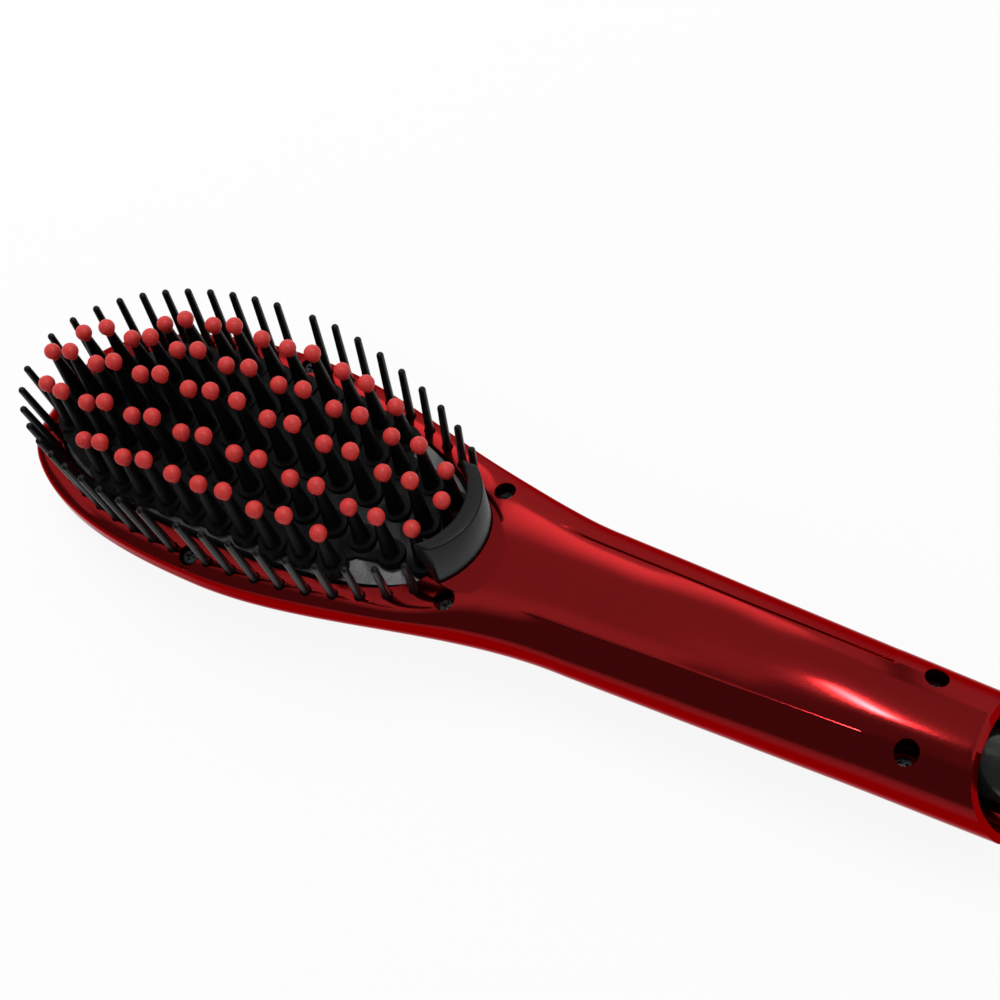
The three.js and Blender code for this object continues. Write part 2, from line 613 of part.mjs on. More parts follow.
// The insulating tray under the plate, notched towards the handle for the leads
function makeHeatShield() {
  const length = POCKET.halfLength + TRAY.margin;
  const across = POCKET.halfWidth + TRAY.margin;
  const tray = pocketBlock(length, across, TRAY.bottomZ, PLATE_BOTTOM_Z - GAP);
  const floorZ = TRAY.bottomZ + TRAY.floor;
  const hollow = pocketBlock(length - TRAY.wall, across - TRAY.wall, floorZ, 20);
  const notch = box([OVAL_X + length - 4, -6, floorZ], [OVAL_X + length + 4, 6, 20]);
  return cut(tray, [hollow, notch]);
}

const trayFloorZ = TRAY.bottomZ + TRAY.floor + GAP;

// A small round part with narrower ends, lying along X on the floor of the tray
function makeTrayPart({ x, y, r, halfLength }) {
  const profile = [
    [0, x - halfLength - 3], [r / 3, x - halfLength - 3], [r / 3, x - halfLength], [r, x - halfLength],
    [r, x + halfLength], [r / 3, x + halfLength], [r / 3, x + halfLength + 3], [0, x + halfLength + 3],
  ];
  return turnedX(profile, trayFloorZ + r, 10).translate([0, y, 0]);
}

function makeBezel() {
  const face = prismZ(bezelOutline(0), bezelBottomZ, bezelTopZ + 0.8);
  const flange = prismZ(bezelOutline(BEZEL.flange), WALL + GAP, bezelTopZ + 0.8);
  const seat = bezelBottomZ + WINDOW.recess + WINDOW.thick + GAP;
  return cut(face.add(flange), [
    prismZ(windowOutline(GAP), -5, seat),
    prismZ(windowOutline(-1), -5, 20),
    ...Object.values(BUTTON_X).map((x) => rod(BUTTON_R + GAP, -5, 20, x, 0, 16)),
    ...Object.values(BUTTON_X).map((x) => rod(BUTTON_FLANGE.r + GAP, bezelTopZ, 20, x, 0, 16)),
  ]);
}

const windowOutline = (grow) =>
  slotOutline(
    WINDOW.x - WINDOW.halfLength - grow, WINDOW.x + WINDOW.halfLength + grow, WINDOW.halfWidth + grow, 6,
  );

function makeWindow() {
  const bottom = bezelBottomZ + WINDOW.recess;
  return prismZ(windowOutline(0), bottom, bottom + WINDOW.thick);
}

function makeDisplay() {
  const bottom = bezelTopZ + 0.8 + GAP;
  return box(
    [WINDOW.x - WINDOW.halfLength + 1, 2 - WINDOW.halfWidth - 1, bottom],
    [WINDOW.x + WINDOW.halfLength - 1, WINDOW.halfWidth - 1, BOARD.z - GAP],
  );
}

// A push button: slightly dished cap, flange behind the bezel, stem to its switch
function makeButton(x) {
  const bottom = bezelBottomZ + 0.2;
  const flangeBottom = bezelTopZ + GAP;
  const flangeTop = flangeBottom + BUTTON_FLANGE.thick;
  return turnedZ(
    [
      [0, bottom + 0.4], [BUTTON_R * 0.6, bottom + 0.2], [BUTTON_R - 0.5, bottom], [BUTTON_R, bottom + 0.4],
      [BUTTON_R, flangeBottom], [BUTTON_FLANGE.r, flangeBottom], [BUTTON_FLANGE.r, flangeTop],
      [SWITCH.plungerR, flangeTop], [SWITCH.plungerR, plungerBottomZ - GAP], [0, plungerBottomZ - GAP],
    ],
    x, 0, 16,
  );
}

const makePlunger = (x) =>
  rod(SWITCH.plungerR, plungerBottomZ, switchTopZ - 0.5 - BUTTON_TRAVEL - GAP, x, 0, 12);

function makeSwitch(x) {
  const half = SWITCH.side / 2;
  const body = box([x - half, -half, switchBottomZ], [x + half, half, switchTopZ]);
  return cut(body, [rod(SWITCH.plungerR + GAP, switchBottomZ - 1, switchTopZ - 0.5, x, 0, 12)]);
}

function makeBoard() {
  const { fromX, toX, halfWidth: across, z, thick } = BOARD;
  const outline = [
    [fromX, -across + 2], [fromX + 2, -across], [toX - 2, -across], [toX, 2 - across],
    [toX, across - 2], [toX - 2, across], [fromX + 2, across], [fromX, across - 2],
  ];
  return prismZ(outline, z, z + thick);
}

const boardTopZ = BOARD.z + BOARD.thick;
const makeCapacitor = () => box([BOARD.toX - 30, -7, boardTopZ + GAP], [BOARD.toX - 14, 1, boardTopZ + 8]);

function makeTriac() {
  const x = BOARD.fromX + 28;
  const tab = box([x, -5, boardTopZ + GAP], [x + 1.2, 5, boardTopZ + 8]);
  return tab.add(box([x, -5, boardTopZ + GAP], [x + 4.5, 5, boardTopZ + 5]));
}

const clipFromX = bushFromX - GAP - CLIP.thick;

// The turning part of the cord outlet: domed nose, grooved spindle and a bore for the cord
function makeSwivelGland() {
  const back = bushToX + GAP;
  const { spindleR, fromX, boreR, domeR, tipX, tipR } = SWIVEL;
  const profile = [
    [0, fromX], [spindleR, fromX], [spindleR, clipFromX - GAP], [CLIP.grooveR, clipFromX - GAP],
    [CLIP.grooveR, bushFromX], [spindleR, bushFromX], [spindleR, back], [domeR, back],
  ];
  for (let i = 0; i <= 4; i++) {
    const angle = (Math.PI / 2) * (i / 4);
    profile.push([tipR + (domeR - tipR) * Math.cos(angle), mix(back + 3, tipX, Math.sin(angle))]);
  }
  profile.push([0, tipX]);
  return cut(turnedX(profile, swivelZ, 20), [
    rodX(boreR, fromX - 5, tipX + 5, swivelZ, 10),
    turnedX([[0, tipX - 3], [boreR, tipX - 3], [boreR + 1.2, tipX + 1], [0, tipX + 1]], swivelZ, 10),
  ]);
}

// The spool that the spindle turns in, trapped in the wall between the two shells
function makeBush() {
  const { hubR, flangeR, flange } = BUSH;
  const profile = [
    [0, bushFromX], [flangeR, bushFromX], [flangeR, bushFromX + flange], [hubR, bushFromX + flange],
    [hubR, bushToX - flange], [flangeR, bushToX - flange], [flangeR, bushToX], [0, bushToX],
  ];
  const bore = rodX(SWIVEL.spindleR + GAP, bushFromX - 1, bushToX + 1, swivelZ, 16);
  return turnedX(profile, swivelZ, 16).subtract(bore);
}

// The open clip in the groove of the spindle, which keeps the gland in the handle
function makeClip() {
  const ring = rodX(CLIP.outerR, clipFromX, clipFromX + CLIP.thick, swivelZ, 20);
  const bore = rodX(CLIP.grooveR + GAP, clipFromX - 1, clipFromX + 3, swivelZ, 16);
  const half = CLIP.mouth / 2;
  const mouth = box([clipFromX - 1, -half, swivelZ], [clipFromX + 3, half, swivelZ + 20]);
  return cut(ring, [bore, mouth]);
}

function makeContactRing(x) {
  const half = CONTACT.ringLength / 2;
  return cut(rodX(CONTACT.ringR, x - half, x + half, swivelZ, 20), [
    rodX(SWIVEL.spindleR + GAP, x - half - 1, x + half + 1, swivelZ, 20),
  ]);
}

// A sprung leaf that stands in the carrier and wipes its ring from below
function makeContactLeaf(x) {
  const topZ = swivelZ - CONTACT.ringR - GAP;
  const { thick, footY } = LEAF;
  const blade = box([x - 1, footY, topZ - thick], [x + 1, 6, topZ]);
  return blade.add(box([x - 1, footY, CARRIER.bottomZ + 2 * GAP], [x + 1, footY + thick, topZ]));
}

function makeCarrier() {
  const { fromX, toX, fromY, toY, bottomZ, topZ } = CARRIER;
  const block = box([fromX, fromY, bottomZ], [toX, toY, topZ]);
  const foot = box([fromX, CARRIER.footY, WALL + GAP], [toX, toY, topZ]);
  const { thick, footY } = LEAF;
  const slots = Object.values(CONTACT.xs).map((x) =>
    box([x - 1 - GAP, footY - GAP, bottomZ + GAP], [x + 1 + GAP, footY + thick + GAP, 20]),
  );
  return cut(block.add(foot), slots);
}

// A round lead through a list of places
function makeLead(places) {
  const path = new THREE.CatmullRomCurve3(places.map((place) => new THREE.Vector3(...place)));
  const section = new THREE.Shape();
  for (let i = 0; i < 6; i++) {
    const angle = (2 * Math.PI * i) / 6;
    section[i ? "lineTo" : "moveTo"](LEAD_R * Math.cos(angle), LEAD_R * Math.sin(angle));
  }
  return solid(new THREE.ExtrudeGeometry(section, { extrudePath: path, steps: 12, bevelEnabled: false }));
}

function makeScrew({ x, y, floorTop }) {
  const seat = floorTop + 0.1;
  const head = seat + SCREW_HEAD_H;
  const body = turnedZ(
    [
      [0, seat - SHANK_LENGTH], [SHANK_R * 0.4, seat - SHANK_LENGTH],
      [SHANK_R, seat - SHANK_LENGTH + 1.2], [SHANK_R, seat], [SCREW_HEAD_R, seat],
      [SCREW_HEAD_R, head - 0.4], [SCREW_HEAD_R * 0.7, head], [0, head],
    ],
    x, y, 8,
  );
  const slotAcross = (dx, dy) => box([x - dx, y - dy, head - 0.7], [x + dx, y + dy, head + 1]);
  return cut(body, [slotAcross(1.1, 0.3), slotAcross(0.3, 1.1)]);
}

const LOOKS = {
  red: { color: 0x8f1018, roughness: 0.18, metalness: 0.6 },
  black: { color: 0x141416, roughness: 0.45, metalness: 0 },
  bristle: { color: 0x101012, roughness: 0.5, metalness: 0 },
  glossBlack: { color: 0x0b0b0d, roughness: 0.15, metalness: 0 },
  aluminium: { color: 0xb4b6b8, roughness: 0.35, metalness: 1 },
  steel: { color: 0x8f9296, roughness: 0.3, metalness: 1 },
  brass: { color: 0xc39a4a, roughness: 0.3, metalness: 1 },
  ceramic: { color: 0xe4e0d6, roughness: 0.7, metalness: 0 },
  board: { color: 0x1d5a34, roughness: 0.55, metalness: 0 },
  cream: { color: 0xc9b78e, roughness: 0.7, metalness: 0 },
  lead: { color: 0xb8b4aa, roughness: 0.6, metalness: 0 },
};

const group = new THREE.Group();

function place(name, look, body) {
  const mesh = new THREE.Mesh(geometryOf(body), new THREE.MeshStandardMaterial(LOOKS[look]));
  mesh.name = name;
  group.add(mesh);
}

place("front_shell", "red", makeFrontShell());
place("back_shell", "red", makeBackShell());
place("comb_frame", "black", makeComb());
place("heel_guard", "black", makeHeelGuard());
place("pin_pad", "bristle", makePinPad());
place("heater_plate", "aluminium", makeHeaterPlate());
place("heater_element", "ceramic", makeHeaterElement());
place("element_clamp", "steel", makeElementClamp());
place("heat_shield", "cream", makeHeatShield());
place("thermal_fuse", "ceramic", makeTrayPart(FUSE));
place("thermistor", "brass", makeTrayPart(THERMISTOR));
place("control_bezel", "glossBlack", makeBezel());
place("display_window", "glossBlack", makeWindow());
place("display_module", "black", makeDisplay());
place("control_board", "board", makeBoard());
place("capacitor", "cream", makeCapacitor());
place("triac", "black", makeTriac());
for (const [name, x] of Object.entries(BUTTON_X)) {
  place(`${name}_button`, "black", makeButton(x));
  place(`${name}_plunger`, "black", makePlunger(x));
  place(`${name}_switch`, "steel", makeSwitch(x));
}
place("swivel_gland", "glossBlack", makeSwivelGland());
place("swivel_bush", "cream", makeBush());
place("retaining_clip", "steel", makeClip());
place("contact_carrier", "cream", makeCarrier());
for (const [name, x] of Object.entries(CONTACT.xs)) {
  place(`contact_ring_${name}`, "brass", makeContactRing(x));
  place(`contact_leaf_${name}`, "brass", makeContactLeaf(x));
}
const pocketEndX = OVAL_X + POCKET.halfLength;
const heaterLeadPath = (y) => [
  [BOARD.fromX + 5, y, boardTopZ + 1.3], [BOARD.fromX + 1, y, boardTopZ + 1.3],
  [BOARD.fromX - 2.5, y, BOARD.z + 1.2], [BOARD.fromX - 5.5, y, BOARD.z - 1.2],
  [BOARD.fromX - 10, y, trayFloorZ + 0.8], [pocketEndX + 14.5, y, trayFloorZ + 1],
  [pocketEndX - 7.5, y, trayFloorZ + 1],
];
const supplyLeadPath = (y) => [
  [BOARD.toX - 3, y, BOARD.z - 0.9], [BOARD.toX, y, BOARD.z - 1.8],
  [BOARD.toX + 2, y, CARRIER.bottomZ + 1.6], [CARRIER.fromX - 0.5, y, CARRIER.bottomZ + 0.6],
];
place("heater_lead_live", "lead", makeLead(heaterLeadPath(3)));
place("heater_lead_neutral", "lead", makeLead(heaterLeadPath(-3)));
place("supply_lead_live", "lead", makeLead(supplyLeadPath(-7)));
place("supply_lead_neutral", "lead", makeLead(supplyLeadPath(-4.9)));
for (const screw of screwPlaces) place(screw.name, "steel", makeScrew(screw));

export default group;
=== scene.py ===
import json
import math

import bmesh
import bpy
import numpy as np
from mathutils import Matrix, Vector
from mathutils.bvhtree import BVHTree


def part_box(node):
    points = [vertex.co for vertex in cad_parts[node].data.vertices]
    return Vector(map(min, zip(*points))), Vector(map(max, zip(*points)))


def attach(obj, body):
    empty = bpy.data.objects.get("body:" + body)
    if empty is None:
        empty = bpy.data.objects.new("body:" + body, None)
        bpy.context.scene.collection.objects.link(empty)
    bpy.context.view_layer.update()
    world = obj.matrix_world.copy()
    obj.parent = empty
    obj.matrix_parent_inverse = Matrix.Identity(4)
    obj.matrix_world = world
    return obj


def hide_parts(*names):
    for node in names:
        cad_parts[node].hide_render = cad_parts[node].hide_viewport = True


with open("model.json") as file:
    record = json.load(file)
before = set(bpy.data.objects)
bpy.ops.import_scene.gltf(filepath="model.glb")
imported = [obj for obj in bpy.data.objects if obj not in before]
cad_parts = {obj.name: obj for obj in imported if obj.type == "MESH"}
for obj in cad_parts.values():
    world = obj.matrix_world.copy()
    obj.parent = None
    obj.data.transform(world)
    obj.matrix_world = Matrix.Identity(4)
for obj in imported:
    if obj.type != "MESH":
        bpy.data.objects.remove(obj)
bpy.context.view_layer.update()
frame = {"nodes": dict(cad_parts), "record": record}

MM = 0.001
BODY = "brush"


def box_mm(node):
    low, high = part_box(node)
    return np.array(low) / MM, np.array(high) / MM


FRONT_LOW, FRONT_HIGH = box_mm("front_shell")
GUARD_TOP_Z = float(box_mm("heel_guard")[1][2])
GLAND_LOW, GLAND_HIGH = box_mm("swivel_gland")
BEZEL_LOW, BEZEL_HIGH = box_mm("control_bezel")

# Shell outline seen from above
NOSE_FULLER = 0.9
NOSE_X = float(FRONT_LOW[0]) - NOSE_FULLER
HEAD_HALF_WIDTH = float(FRONT_HIGH[1])
HEAD_MID_X = -3.0
NOSE_POWER = 2.3
NECK_X = 86.0
NECK_HALF_WIDTH = 17.0
END_X = 172.0
END_HALF_WIDTH = 14.0
# The slanted end: heights, and how far it runs past END_X at each
END_PROFILE = [(-5, 11.5), (5, 9.5), (15, 5), (22.5, 0.5), (25.3, -1)]
END_BEND = 25.0

# Shell heights. The lists run along X in even steps: the crown, how square the shoulders are, and how
# much of the crown is a rounder hump. EVENING is the spread over which they are averaged.
PART_Z = 11.7
NOSE_DROP = 8.3
HANDLE_RISE = 2.15
HEIGHTS_FROM_X = -70.0
HEIGHTS_STEP = 10.0
CROWN = [
    10, 12.7, 13.4, 14.9, 16.3, 17.4, 18.2, 18.7, 19, 18.9, 18.4, 17.5, 17.8, 21.5,
    21.9, 22.2, 22.5, 23.1, 23.5, 23.9, 24.6, 25.2, 25.6, 25.7, 25.8, 25.8, 25.9,
]
TOP_POWERS = [6] * 13 + [5.4, 4.4, 3.3, 2.95, 2.8, 2.7, 2.6, 2.5, 2.4] + [2.35] * 5
HUMP = [0] * 13 + [2.2, 1.9, 1.3, 0.6, 0.1] + [0] * 9
EVENING = 3.4
BELLY_Z = -0.6
NOSE_CAP_TOP = (10.5, 2.0)
NOSE_CAP_BELLY = (34.5, 2.5)
BELLY_POWER = 2.35
WALL = 2.0
SEAM = 0.12
LEAST_SIZE = 0.04

# Grip panel: a strip along the handle between a fine groove and a fine ridge. The flanks fall away
# faster beside it, and its half width is a share of the handle's.
PANEL_XS = [76, 150]
PANEL_SHARES = [0.62, 0.573]
PANEL_SHOULDER = (0.17, 3.0)
PANEL_START = (73.0, 80.0)
PANEL_STOP = (149.0, 150.4)
EDGE_PLACES = [-0.6, -0.3, -0.15, 0, 0.15, 0.3, 0.6]
FAR_GROOVE = [0, 0, -0.4, -0.45, -0.4, 0, 0]
NEAR_RIDGE = [0, 0.02, 0.08, 0.12, 0.06, 0, 0]
SIDE_STEPS, TOP_STEPS = 34, 42
CURVE_POINTS = 1441
RING_STEPS = 2 * SIDE_STEPS + TOP_STEPS + 2 * len(EDGE_PLACES) - 2

# Openings of the front shell. Each oval has the length and the squareness of its heel and nose halves.
OVAL_X = -2.5
OPENING = {"half_width": 23.8, "heel": (56.0, 2.5), "nose": (54.2, 2.5)}
RING = {"half_width": 27.8, "heel": (59.5, 2.1), "nose": (57.3, 2.1)}
TOOTH_HOLE_R = 1.35
WELL_R = 2.5
CUP_WALL = 0.8
CUP_FLOOR = 1.2
CUP_SINK = 0.3
HEAD_SCREW_Y = 20.0

# Back of the handle: the controls
BEZEL_FROM, BEZEL_TO, BEZEL_HALF = 66.0, 140.0, 7.0
BEZEL_GAP = 0.15
WINDOW_X, WINDOW_HALF, WINDOW_ACROSS = 82.0, 12.5, 5.5
WINDOW_GAP, WINDOW_SEAT_Z = 0.2, 2.6
KEY_XS = {"power": 104.0, "plus": 117.0, "minus": 130.0}
KEY_HOLE_R = 4.4

# Bristles: the rows from the middle outwards, short and tall, and how each row departs from an even
# lattice under an even dome
PIN_PITCH = 7.08
ROW_PITCH = 9.6
PIN_MID_X = -2.0
BALL_R = 1.95
NECK_R = 1.05
ROOT_R = 2.2
BOSS_R = 3.6
BOSS_H = 0.7
PIN_LENGTH = 15.7
TALL_EXTRA = [2.8, 2.8, 2.2]
ROW_LIFTS = [(0, 0, 0.4), (0, -0.012, -1.15), (-0.0021, 0, 0.5)]
END_INWARD, NEXT_INWARD = [0, 1.8, 1.9], [0, 0, 1.1]
END_LIFT, NEXT_LIFT = [2.2, 1.7, 0], [0.7, 0, 0]
ROW_SHIFT = 0.3
DOME_X, DOME_Z, DOME_ALONG_X, DOME_ALONG_Y = 1.3, 42.2, 0.0037, 0.0082
PAD_THICK = 1.5
PAD_HALF_LENGTH = 53.1
PAD_LIP_XS, PAD_LIPS = [-34, 0, 12, 30], [3.0, 2.4, 0.9, 0.6]
PAD_NOSE_X, PAD_NOSE_GAP = -30.0, 0.8
ROWS = ["ststststtstststs", "stststststststs", "ststsststs"]
# In ball radii: how far below the ball's centre the stem's round tip sits, and the collar
STEM_STOP = 0.6
COLLAR_TOP_R, COLLAR_FOOT_R, COLLAR_DROP = 0.72, 0.6, 1.12
COLLAR_H = 0.9
PLATE_GAP = 0.95
PLATE_BOTTOM_Z = 10.6

# Comb teeth
TOOTH_TIPS = [27.5, 30, 32.3, 34.6, 36.6, 38, 38.8, 39, 39, 37.2, 34.9, 33.4, 32.3, 31.5, 31]
TOOTH_ROOT_R = 1.12
TOOTH_TIP_R = 0.86
TOOTH_SPLAY = math.radians(4.5)
HEEL_TEETH = {"count": 9, "from_x": 49.1, "pitch": 6.2}
NOSE_TEETH = {"count": 11, "from_x": -7.6, "pitch": 5.95}
RING_FACE_Z, RING_FACE_FALL, RING_FACE_X = 18.2, 0.00135, 12.0
BAND_BELOW, BAND_THICK, BAND_OUTSIDE, BAND_INSIDE = 4.0, 1.8, 1.2, 3.8
BAND_SIDES = 120

# Heel guard: a hood-shaped section swept round an arc
GUARD = {"radius": 14.3, "centre_x": 45.1, "thick": 3.9, "lip": 5.0, "foot": 1.4, "half_width": 11.3}
GUARD_REACH = math.asin(GUARD["half_width"] / GUARD["radius"])
GUARD_SINK = 0.3

# Screws: place and depth of each well
SCREWS = {"head": (-2.9, 27.8, 2.4), "neck": (56.9, 14.7, 5.0), "end": (158.7, 8.6, 8.4)}
SCREW_HEAD_R = 2.0
SCREW_HOLE_R = 1.3
SHANK_R, SHANK_LENGTH = 1.2, 6.0
SCREW_RIM_H, SCREW_HEAD_H = 0.9, 1.4
CROSS_LONG, CROSS_SHORT, CROSS_FLOOR = 1.2, 0.28, 0.6

# Cord swivel
GLAND_BACK_X, GLAND_EDGE = 169.6, 3.0
SPINDLE_R, BORE_R, BELL_MID_R, BELL_R = 3.6, 2.2, 2.6, 3.6
GLAND_FLAT_R = 5.0


def lerp(a, b, t):
    return a + (b - a) * t


def smooth(t):
    t = np.clip(t, 0.0, 1.0)
    return t * t * (3 - 2 * t)


def rounded(t, power):
    return np.maximum(0.0, 1.0 - np.abs(t) ** power) ** (1.0 / power)


def height_at(heights, x):
    """Smooth curve through a list of heights at even steps along X."""
    along = (np.asarray(x, float) - HEIGHTS_FROM_X) / HEIGHTS_STEP
    i = np.clip(np.floor(along).astype(int), 1, len(heights) - 3)
    t = along - i
    h = np.asarray(heights, float)
    a, b, c, d = h[i - 1], h[i], h[i + 1], h[i + 2]
    bend = 2 * a - 5 * b + 4 * c - d + t * (3 * (b - c) + d - a)
    return b + 0.5 * t * (c - a + t * bend)


def evened(heights):
    """The same curve averaged over a bell, so that reflections run along the shell without waves."""
    spread = np.linspace(-2.5, 2.5, 41)
    weight = np.exp(-spread * spread / 2)
    xs = HEIGHTS_FROM_X + HEIGHTS_STEP * np.arange(0, len(heights) - 1, 0.1)
    even = sum(w * height_at(heights, xs + s * EVENING) for w, s in zip(weight, spread)) / weight.sum()
    return xs, even


def curve_at(curve, x):
    xs, values = curve
    return np.interp(x, xs, values)


def half_width(x):
    nose = HEAD_HALF_WIDTH * rounded(np.clip((HEAD_MID_X - x) / (HEAD_MID_X - NOSE_X), 0, 1), NOSE_POWER)
    heel = lerp(HEAD_HALF_WIDTH, NECK_HALF_WIDTH, smooth((x - HEAD_MID_X) / (NECK_X - HEAD_MID_X)))
    grip = lerp(NECK_HALF_WIDTH, END_HALF_WIDTH, (x - NECK_X) / (END_X - NECK_X))
    return np.where(x < HEAD_MID_X, nose, np.where(x < NECK_X, heel, grip))


def part_z(x):
    return np.where(x < 0, PART_Z - NOSE_DROP * (x / NOSE_X) ** 2, PART_Z + HANDLE_RISE * x / END_X)


def nose_cap(x, length, power):
    """How far the shell has opened behind its nose, from 0 to 1."""
    return rounded(np.clip((NOSE_X + length - x) / length, 0, 1), power)


CROWN_CURVE, POWER_CURVE, HUMP_CURVE = evened(CROWN), evened(TOP_POWERS), evened(HUMP)


def top_arch(x):
    """Height of the flat arch over the parting line, height of the hump on it and the arch's power."""
    hump = np.maximum(0, curve_at(HUMP_CURVE, x))
    cap = nose_cap(x, *NOSE_CAP_TOP)
    return (curve_at(CROWN_CURVE, x) - part_z(x) - hump) * cap, hump * cap, curve_at(POWER_CURVE, x)


def belly_height(x):
    return (part_z(x) - BELLY_Z) * nose_cap(x, *NOSE_CAP_BELLY)


def shell_top_z(x, y):
    """Height of the front shell over a place."""
    arch, hump, power = top_arch(x)
    across = np.clip(y / half_width(x), -1, 1)
    return part_z(x) + arch * rounded(across, power) + hump * (1 - across * across)


def panel_fade(x):
    """The panel's share of its full shape, from 0 to 1, as it sets in and ends."""
    start = smooth((x - PANEL_START[0]) / (PANEL_START[1] - PANEL_START[0]))
    stop = 1 - smooth((x - PANEL_STOP[0]) / (PANEL_STOP[1] - PANEL_STOP[0]))
    return start * stop


def flank_fall(x, y, edge):
    """Change of height beside the panel, where the flanks fall away faster."""
    beyond = np.maximum(np.abs(y) - edge, 0)
    slope, reach = PANEL_SHOULDER
    return panel_fade(x) * (-slope * beyond * np.exp(-beyond / reach))


END_CURVE = np.polyfit(*zip(*END_PROFILE), 3)


def end_shift(z):
    """How far the slanted end runs on past END_X at a height."""
    return np.polyval(END_CURVE, z)


def section(x, inset, upper):
    """Points of half a cross-section of the shell, from +Y round to -Y.

    They lie close together at the panel's edges, where the groove and the ridge are.
    """
    outer_x = NOSE_X + (x - NOSE_X - inset) * (END_X - NOSE_X) / (END_X - NOSE_X - inset)
    width = max(float(half_width(outer_x)) - inset, LEAST_SIZE)
    arch, hump, power = (float(v) for v in top_arch(outer_x))
    height = max((arch if upper else float(belly_height(outer_x))) - inset, LEAST_SIZE)
    power = power if upper else BELLY_POWER
    angle = np.linspace(0, math.pi, CURVE_POINTS)
    c, s = np.cos(angle), np.sin(angle)
    y = width * np.sign(c) * np.abs(c) ** (2 / power)
    rise = height * np.abs(s) ** (2 / power)
    if upper:
        rise = rise + hump * (1 - (y / width) ** 2)
    along = np.concatenate([[0], np.cumsum(np.hypot(np.diff(y), np.diff(rise)))])
    edge = float(np.interp(outer_x, PANEL_XS, PANEL_SHARES)) * width
    first, second = np.interp([-edge, edge], -y, along)
    places = np.array(EDGE_PLACES) * min(1, width / 10)
    gap = places[-1]
    stops = np.concatenate([
        np.linspace(0, first - gap, SIDE_STEPS + 1)[:-1], first + places,
        np.linspace(first + gap, second - gap, TOP_STEPS + 1)[1:-1], second + places,
        np.linspace(second + gap, along[-1], SIDE_STEPS + 1)[1:],
    ])
    y, rise = np.interp(stops, along, y), np.interp(stops, along, rise)
    z = float(part_z(x)) + (rise + SEAM / 2 if upper else -rise - SEAM / 2)
    if upper and inset == 0:
        z = z + flank_fall(x, y, edge)
        edges = np.zeros(len(stops))
        count = len(EDGE_PLACES)
        edges[SIDE_STEPS:SIDE_STEPS + count] = FAR_GROOVE
        edges[-SIDE_STEPS - count:-SIDE_STEPS] = NEAR_RIDGE
        z = z + float(panel_fade(x)) * edges
    if not upper:
        z = np.maximum(z, inset)
    shear = smooth((x - END_X + END_BEND) / END_BEND) if x > END_X - END_BEND else 0.0
    return np.column_stack([x + shear * end_shift(z), y, z])


def new_object(name, data):
    obj = bpy.data.objects.new(name, data)
    bpy.context.scene.collection.objects.link(obj)
    return obj


def mesh_object(name, verts_mm, faces, material=None):
    mesh = bpy.data.meshes.new(name)
    mesh.from_pydata([tuple(v) for v in np.asarray(verts_mm, float) * MM], [], faces)
    mesh.update()
    if material:
        mesh.materials.append(material)
    return new_object(name, mesh)


def carrying_mesh(name, places, faces=(), **attributes):
    """A mesh, or loose points, that carries values for a node tree."""
    obj = mesh_object(name, places, faces)
    for key, values in attributes.items():
        vector = np.ndim(values) == 2
        attribute = obj.data.attributes.new(key, "FLOAT_VECTOR" if vector else "FLOAT", "POINT")
        attribute.data.foreach_set("vector" if vector else "value", np.asarray(values, np.float32).ravel())
    return obj


def loft_faces(rings, count):
    """Quads between closed rings of equally many points."""
    faces = []
    for k in range(rings - 1):
        for i in range(count):
            j = (i + 1) % count
            a, b = k * count, (k + 1) * count
            faces.append((a + i, a + j, b + j, b + i))
    return faces


def swept_faces(rings, count):
    """The same quads, with the last ring joined to the first."""
    last = (rings - 1) * count
    closing = [(last + i, last + (i + 1) % count, (i + 1) % count, i) for i in range(count)]
    return loft_faces(rings, count) + closing


def closed_object(name, rings, faces, material):
    """A body through rings of points whose faces all look outwards."""
    obj = mesh_object(name, np.vstack(rings), faces, material)
    bm = bmesh.new()
    bm.from_mesh(obj.data)
    bmesh.ops.remove_doubles(bm, verts=bm.verts, dist=1e-6)
    bmesh.ops.recalc_face_normals(bm, faces=bm.faces)
    bm.to_mesh(obj.data)
    bm.free()
    return obj


def closed_loft(name, rings, material=None):
    """A closed body through rings of points, with one face at each end."""
    count = len(rings[0])
    last = (len(rings) - 1) * count
    faces = loft_faces(len(rings), count)
    faces += [tuple(range(count)), tuple(range(last + count - 1, last - 1, -1))]
    return closed_object(name, rings, faces, material)


def smooth_shade(obj, degrees=40):
    """Smooth faces with sharp edges where the mesh turns by more than an angle."""
    bm = bmesh.new()
    bm.from_mesh(obj.data)
    limit = math.radians(degrees)
    for face in bm.faces:
        face.smooth = True
    for edge in bm.edges:
        edge.smooth = len(edge.link_faces) == 2 and edge.calc_face_angle(0.0) < limit
    bm.to_mesh(obj.data)
    bm.free()
    return obj


def apply_modifiers(obj):
    graph = bpy.context.evaluated_depsgraph_get()
    mesh = bpy.data.meshes.new_from_object(obj.evaluated_get(graph))
    obj.modifiers.clear()
    obj.data = mesh
    return obj


def soften(obj, width, turn=35, sharp=50):
    """Rounds the edges where the mesh turns by more than an angle, then shades it smooth."""
    bevel = obj.modifiers.new("soft_edges", "BEVEL")
    bevel.width = width * MM
    bevel.segments = 3
    bevel.limit_method = "ANGLE"
    bevel.angle_limit = math.radians(turn)
    return smooth_shade(apply_modifiers(obj), sharp)


def cut(obj, cutters):
    """Cuts closed bodies out of a closed body."""
    for cutter in cutters:
        modifier = obj.modifiers.new("cut", "BOOLEAN")
        modifier.operation = "DIFFERENCE"
        modifier.solver = "EXACT"
        modifier.object = cutter
    apply_modifiers(obj)
    for cutter in cutters:
        bpy.data.objects.remove(cutter)
    return obj


